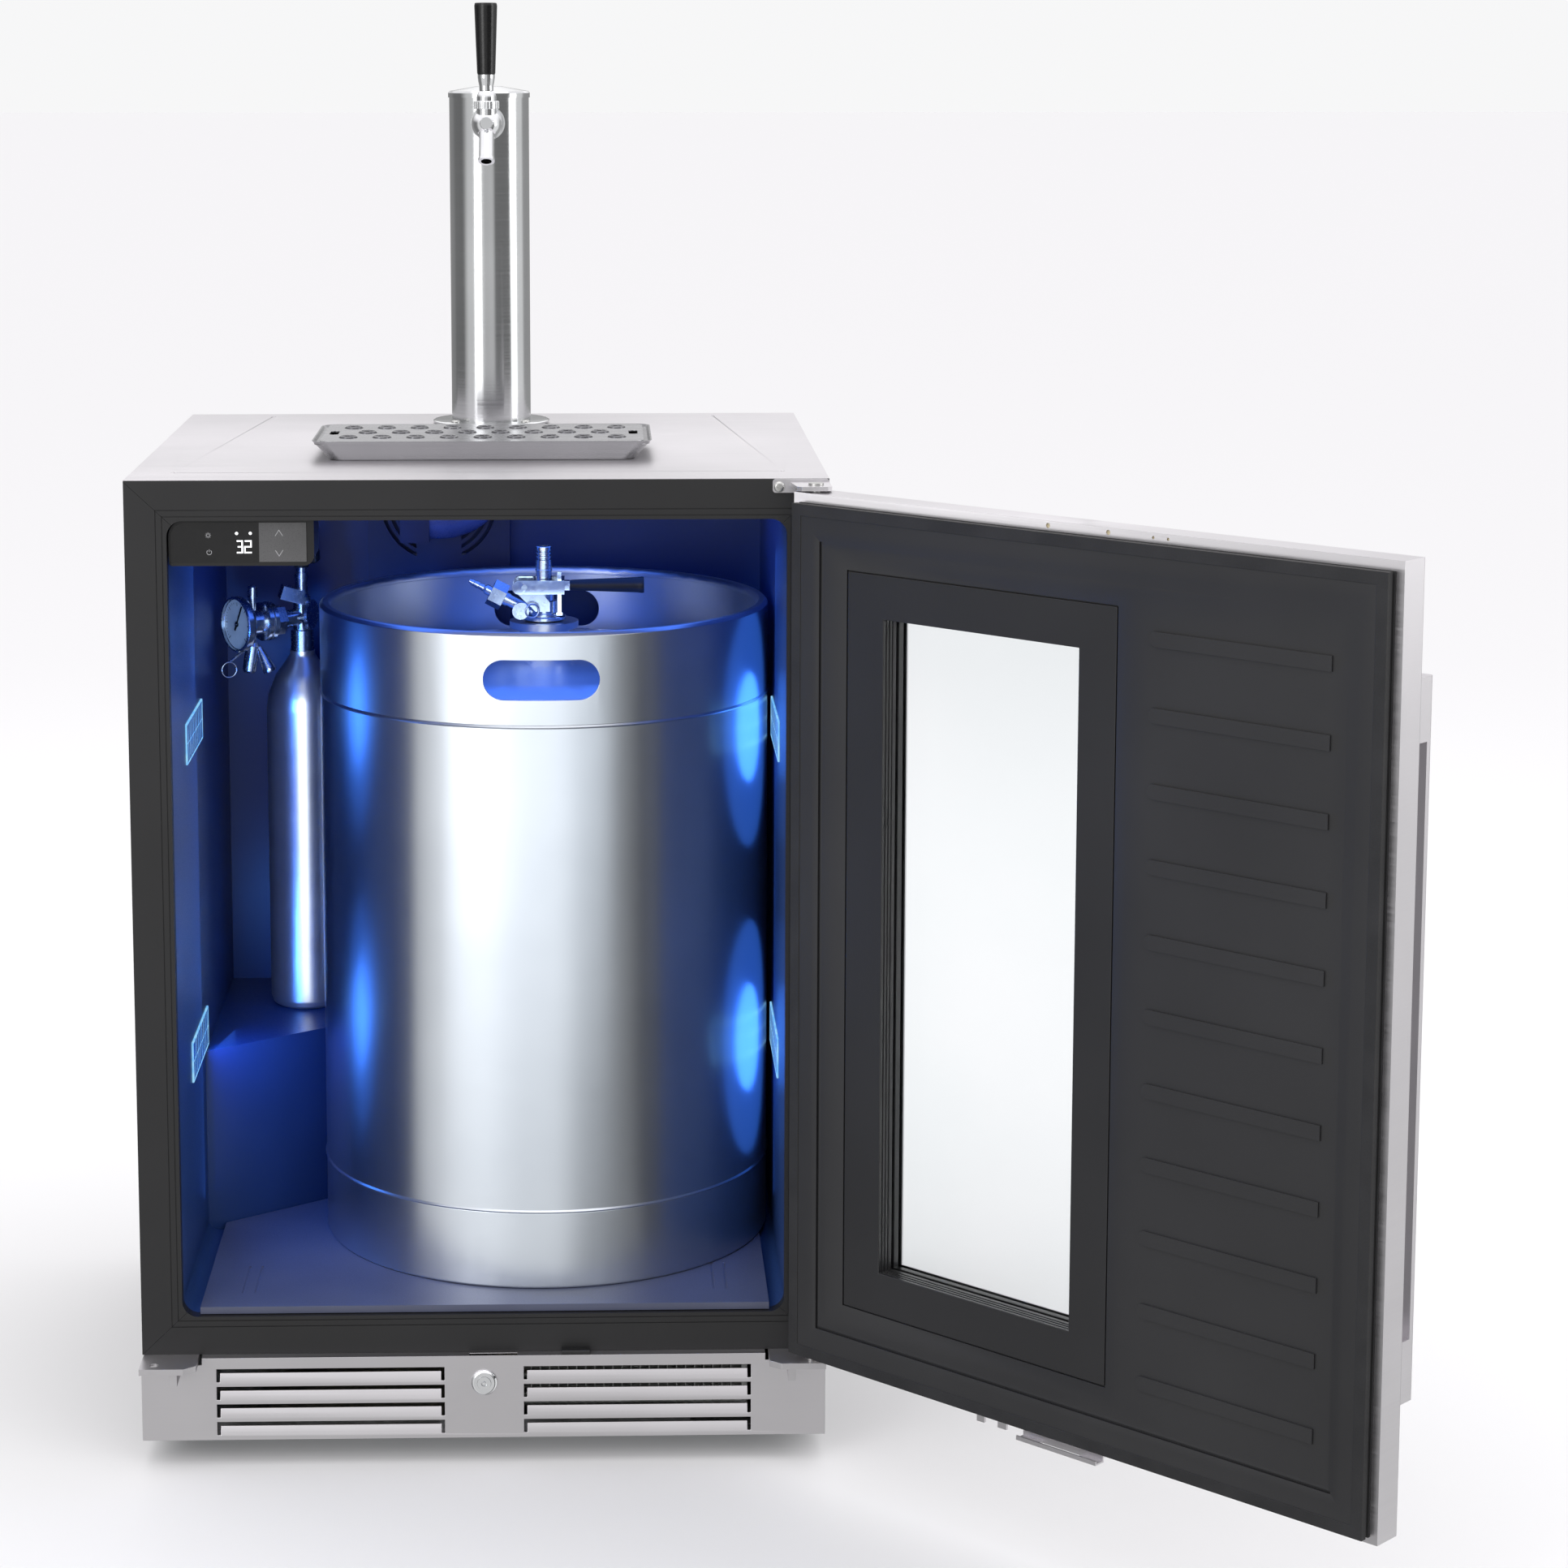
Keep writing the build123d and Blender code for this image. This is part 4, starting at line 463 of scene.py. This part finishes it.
ROUNDED = {
    "front_frame": 0.5, "kick_plate": 0.4, "door_shell": 0.5, "door_liner": 0.7, "window_frame": 0.6,
    "top_panel": 0.3, "control_housing": 0.6, "control_panel": 0.2, "floor_plate": 0.6, "drip_tray": 0.35,
    "hinge_brackets_lower": 0.35, "hinge_bracket_upper": 0.35, "door_handle": 0.9, "tower_cap": 0.4,
    "keg_top_chime": 0.5, "keg_bottom_chime": 0.5, "faucet_body": 0.25, "tap_handle": 0.4,
    "lock_housing": 0.25,
    "lock_cylinder": 0.2, "coupler_lever": 0.3, "co2_handwheel": 0.4, "side_panels": 0.3,
    "door_gasket": 0.4,
    "drip_grate": 0.25, "lock_strike": 0.3, "rear_panels": 0.25, "compressor": 0.6,
}


def dress(name, material):
    """Give a CAD node its finish, angle shading, and rounded edges where ROUNDED has their width."""
    node = NODES[name]
    mesh = node.data
    mesh.materials.clear()
    mesh.materials.append(material)
    if "custom_normal" in mesh.attributes:
        mesh.attributes.remove(mesh.attributes["custom_normal"])
    mesh.polygons.foreach_set("use_smooth", [True] * len(mesh.polygons))
    mesh.polygons.foreach_set("material_index", [0] * len(mesh.polygons))
    weld = node.modifiers.new("weld", "WELD")
    weld.merge_threshold = WELD_DISTANCE
    if name in ROUNDED:
        bevel = node.modifiers.new("edges", "BEVEL")
        bevel.width = ROUNDED[name] * MM
        bevel.segments = 2
        bevel.angle_limit = SHADE_ANGLE
        bevel.use_clamp_overlap = True
    split = node.modifiers.new("split", "EDGE_SPLIT")
    split.split_angle = SHADE_ANGLE
    weighted = node.modifiers.new("shading", "WEIGHTED_NORMAL")
    weighted.keep_sharp = True
    weighted.weight = 100


for finish_material, members in FINISH:
    for member in members.split():
        dress(member, finish_material)
assert sorted(n for _, members in FINISH for n in members.split()) == sorted(NODES)


# ---------------------------------------------------------------- added detail
def build(name, shells, material, body):
    """One piece from (vertices, faces) shells, with vertices in metres."""
    verts, faces = [], []
    for shell_verts, shell_faces in shells:
        start = len(verts)
        verts += [tuple(v) for v in shell_verts]
        faces += [tuple(start + i for i in f) for f in shell_faces]
    mesh = bpy.data.meshes.new(name)
    mesh.from_pydata(verts, [], faces)
    mesh.materials.append(material)
    mesh.update()
    piece = bpy.data.objects.new(name, mesh)
    bpy.context.scene.collection.objects.link(piece)
    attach(piece, body)
    return piece


def prism(outline, to_space, low, high):
    """A closed prism from a 2-D outline, between two depths."""
    n = len(outline)
    verts = [to_space(x, y, d) for d in (low, high) for x, y in outline]
    faces = [tuple(reversed(range(n))), tuple(range(n, 2 * n))]
    faces += [(i, (i + 1) % n, n + (i + 1) % n, n + i) for i in range(n)]
    return verts, faces


def stroke(points, width, to_space, low, high, closed=False):
    """A ribbon of even width along 2-D points, raised between two depths."""
    n = len(points)
    sides = []
    for i, (x, y) in enumerate(points):
        before = points[i - 1] if i or closed else None
        after = points[(i + 1) % n] if i < n - 1 or closed else None
        steps = []
        for a, b in ((before, (x, y)), ((x, y), after)):
            if a is not None and b is not None:
                steps.append((Vector(b) - Vector(a)).normalized())
        along = (steps[0] + steps[-1]).normalized()
        across = Vector((-along.y, along.x))
        reach = width / 2 / max(0.3, across.dot(Vector((-steps[0].y, steps[0].x))))
        sides.append((Vector((x, y)) + across * reach, Vector((x, y)) - across * reach))
    verts = [to_space(p.x, p.y, d) for left, right in sides for p, d in
             ((left, low), (right, low), (right, high), (left, high))]
    faces = []
    for i in range(n if closed else n - 1):
        a, b = 4 * i, 4 * ((i + 1) % n)
        faces += [(a + k, a + (k + 1) % 4, b + (k + 1) % 4, b + k) for k in range(4)]
    if not closed:
        faces += [(3, 2, 1, 0), tuple(4 * (n - 1) + k for k in range(4))]
    return verts, faces


def circle(x, y, r, count=24, start=0.0, turn=2 * math.pi):
    """Points along a circle or an arc."""
    steps = count if turn >= 2 * math.pi - 1e-6 else count + 1
    return [(x + r * math.cos(start + turn * i / count), y + r * math.sin(start + turn * i / count))
            for i in range(steps)]


def on_panel(x, z, depth):
    """A point on the touch panel: millimetres across and up, and in front of its face."""
    return x * MM, PANEL_FACE - depth * MM, z * MM


PANEL_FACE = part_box("control_panel")[0].y


def make_display():
    """Digits, lit dots, icons and the lighter touch section of the control panel."""
    low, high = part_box("control_panel")
    right, top = high.x / MM, high.z / MM
    left, bottom = right - 40.3, low.z / MM
    section = [(left, bottom + 0.4), (right - 0.4, bottom + 0.4), (right - 0.4, top - 0.4),
               (left, top - 0.4)]
    build("touch_section", [prism(section, on_panel, 0.0, 0.05)], TOUCH_GREY, "cabinet")
    x0, z0 = left - 19.4, bottom + 7.8
    w, h, pen = 5.2, 11.1, 1.2
    tens = [(x0 + pen / 2, z0 + h - pen / 2), (x0 + w, z0 + h - pen / 2), (x0 + w, z0 + pen / 2),
            (x0 + pen / 2, z0 + pen / 2)]
    middle = [(x0 + pen / 2 + 0.8, z0 + h / 2), (x0 + w - pen / 2, z0 + h / 2)]
    x1 = x0 + w + 2.2
    units = [(x1, z0 + h - pen / 2), (x1 + w, z0 + h - pen / 2), (x1 + w, z0 + h / 2), (x1, z0 + h / 2),
             (x1, z0 + pen / 2), (x1 + w + pen / 2, z0 + pen / 2)]
    shells = [stroke(p, pen, on_panel, 0.0, 0.06) for p in (tens, middle, units)]
    shells += [prism(circle(x, z0 + 17.0, 1.3, 20), on_panel, 0.0, 0.06) for x in (x0 + 0.6, x0 + 12.2)]
    build("display_digits", shells, DISPLAY, "cabinet")
    icons = [stroke(circle(x0 - 23.4, z0 + 15.4, 1.3), 0.4, on_panel, 0.0, 0.05, True)]
    for i in range(8):
        a = math.pi * i / 4
        ray = [(x0 - 23.4 + r * math.cos(a), z0 + 15.4 + r * math.sin(a)) for r in (1.8, 2.5)]
        icons.append(stroke(ray, 0.4, on_panel, 0.0, 0.05))
    icons.append(
        stroke(circle(x0 - 22.7, z0 + 0.9, 2.0, 24, math.radians(125), math.radians(290)), 0.45,
               on_panel, 0.0, 0.05),
    )
    icons.append(stroke([(x0 - 22.7, z0 + 1.3), (x0 - 22.7, z0 + 3.4)], 0.45, on_panel, 0.0, 0.05))
    middle_x = (left + right) / 2 - 3.3
    for z, way in ((z0 + 17.2, 1), (z0, -1)):
        icons.append(stroke([(middle_x - 3.2, z - way * 2.5), (middle_x, z + way * 2.5),
                             (middle_x + 3.2, z - way * 2.5)], 0.5, on_panel, 0.06, 0.11))
    build("panel_icons", icons, ICON, "cabinet")


def make_lamps():
    """Lamp lenses: a lit bed, a rim and slanting ribs, all within the CAD lamps."""
    low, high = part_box("led_lamps")
    y0, y1 = low.y / MM, high.y / MM
    beds, ribs = [], []
    for side, wall in ((-1, low.x / MM), (1, high.x / MM)):
        for z0 in (low.z / MM, high.z / MM - LAMP_HEIGHT):
            z1 = z0 + LAMP_HEIGHT

            def to_space(y, z, depth, wall=wall, side=side):
                return (wall - side * depth) * MM, y * MM, z * MM

            def plate(a, b, c, d, depth0, depth1):
                return prism([(a, c), (b, c), (b, d), (a, d)], to_space, depth0, depth1)

            beds.append(plate(y0 + 1.5, y1 - 1.5, z0 + 1.5, z1 - 1.5, 0.0, 1.2))
            rim = [(y0 + 1, z0 + 1), (y1 - 1, z0 + 1), (y1 - 1, z1 - 1), (y0 + 1, z1 - 1)]
            ribs.append(stroke(rim, 1.4, to_space, 0.0, 1.5, True))
            for n in range(9):
                start = y0 + 6 + n * 13.2
                end = min(start + 14, y1 - 3)
                rise = (end - start) / 14 * (z1 - z0 - 6)
                if end - start > 4:
                    ribs.append(stroke([(start, z0 + 3), (end, z0 + 3 + rise)], 0.9, to_space, 1.1, 1.35))
            ribs.append(
                stroke([(y0 + 2, (z0 + z1) / 2), (y1 - 2, (z0 + z1) / 2)], 0.7, to_space, 1.1, 1.35),
            )
    bed = build("lamp_beds", beds, LAMP_BED, "cabinet")
    rib = build("lamp_ribs", ribs, LAMP_RIB, "cabinet")
    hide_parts("led_lamps")
    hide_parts("led_lamps")


GAUGE_FACING = (-0.79864, -0.60182, 0.0)


def make_dial():
    """The gauge's scale: tick marks round the dial face."""
    flow = Vector(GAUGE_FACING)
    bottle_low, bottle_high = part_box("co2_bottle")
    port = Vector(((bottle_low.x + bottle_high.x) / 2, (bottle_low.y + bottle_high.y) / 2, GAUGE_HEIGHT))
    centre = port + flow * GAUGE_REACH
    up = Vector((0, 0, 1))
    across = up.cross(flow)

    def to_space(x, y, depth):
        return centre + across * (x * MM) + up * (y * MM) + flow * (depth * MM)

    face = [prism(circle(0, 0, DIAL_RADIUS, 48), to_space, 0.02, 0.12)]
    dial = build("gauge_dial", face, DIAL, "co2_cylinder")
    ticks = []
    for i in range(31):
        angle = math.radians(225 - 9 * i)
        inner = 17.4 if i % 5 == 0 else 19.2
        ray = [(r * math.cos(angle), r * math.sin(angle)) for r in (inner, 21.0)]
        ticks.append(stroke(ray, 0.7 if i % 5 == 0 else 0.35, to_space, 0.12, 0.2))
    build("gauge_ticks", ticks, NEEDLE, "co2_cylinder")
    return dial


def make_rear_screws():
    """Pan-head screws that hold the rear panels."""
    low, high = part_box("rear_panels")
    face = high.y
    spots = []
    for x in (low.x + 0.012, (low.x + high.x) / 2, high.x - 0.012):
        spots += [(x, high.z - 0.012), (x, 0.311), (x, 0.289), (x, low.z + 0.012)]
    shells = []
    for cx, cz in spots:
        rings = ((3.6, 0.0), (3.6, 0.7), (3.0, 1.4), (1.8, 1.8))
        verts, faces = [], []
        for r, d in rings:
            verts += [(cx + x * MM, face + d * MM, cz + z * MM) for x, z in circle(0, 0, r, SCREW_SIDES)]
        verts.append((cx, face + 1.1 * MM, cz))
        for k in range(len(rings) - 1):
            a, b = SCREW_SIDES * k, SCREW_SIDES * (k + 1)
            for i in range(SCREW_SIDES):
                j = (i + 1) % SCREW_SIDES
                faces.append((a + i, b + i, b + j, a + j))
        top = SCREW_SIDES * (len(rings) - 1)
        faces += [(top + i, len(verts) - 1, top + (i + 1) % SCREW_SIDES) for i in range(SCREW_SIDES)]
        faces.append(tuple(range(SCREW_SIDES)))
        shells.append((verts, faces))
    build("rear_screws", shells, ZINC, "cabinet")


def make_grate_rims():
    """Raised lips round the grate's drain holes, in a darker steel that paints the shade and dark
    reflection round the holes.
    """
    low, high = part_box("drip_grate")
    middle = (low + high) / 2
    profile = ((5.6, 0.0), (5.7, 1.4), (6.3, 1.8), (7.2, 1.2), (8.6, 0.0))
    shells = []
    for dy, count in ((-40, 9), (0, 8), (40, 9)):
        for n in range(count):
            dx = (n - (count - 1) / 2) * HOLE_PITCH
            verts, faces = [], []
            for r, lift in profile:
                verts += [(middle.x + (dx + x) * MM, middle.y + (dy + y) * MM, high.z + lift * MM)
                          for x, y in circle(0, 0, r, HOLE_SIDES)]
            rings = len(profile)
            for k in range(rings):
                a, b = HOLE_SIDES * k, HOLE_SIDES * ((k + 1) % rings)
                for i in range(HOLE_SIDES):
                    j = (i + 1) % HOLE_SIDES
                    faces.append((a + i, b + i, b + j, a + j))
            shells.append((verts, faces))
    rims = build("grate_rims", shells, LIP_STEEL_PAINTED_SHADE, "drip_grate")
    rims.data.polygons.foreach_set("use_smooth", [True] * len(rims.data.polygons))


make_display()
make_lamps()
make_grate_rims()
gauge_face = make_dial()
make_rear_screws()


# ---------------------------------------------------------------- lights for single parts
FITTINGS = nodes("coupler_body coupler_probe coupler_relief coupler_lever co2_valve regulator_body "
                 "pressure_gauge gauge_needle") + [gauge_face]
area_light(
    "keg_front", (-0.25, -1.7, 0.65), (0.0, 0.15, 0.5), (3.4, 1.5), 16.0, (0.90, 0.95, 1.0),
    KEG_NODES,
)
area_light("bottle_glint", (-0.12, -0.8, 0.5), (-0.2, 0.1, 0.5), (1.0, 0.9), 13.0, (0.86, 0.93, 1.0),
           nodes("co2_bottle"))
area_light("fittings", (0.0, -2.0, 0.9), (-0.1, 0.1, 0.7), (1.8, 1.2), 26.0, (0.50, 0.72, 1.0), FITTINGS)
area_light("dial_light", (0.0, -2.0, 0.9), (-0.2, 0.1, 0.68), (1.8, 1.2), 50.0, (0.22, 0.50, 1.0),
           [gauge_face] + nodes("gauge_needle"))
area_light("door_edge", (-3.0, -0.4, 1.0), (0.4, -0.4, 0.6), (1.2, 1.8), 12.0, only=nodes("door_shell"))
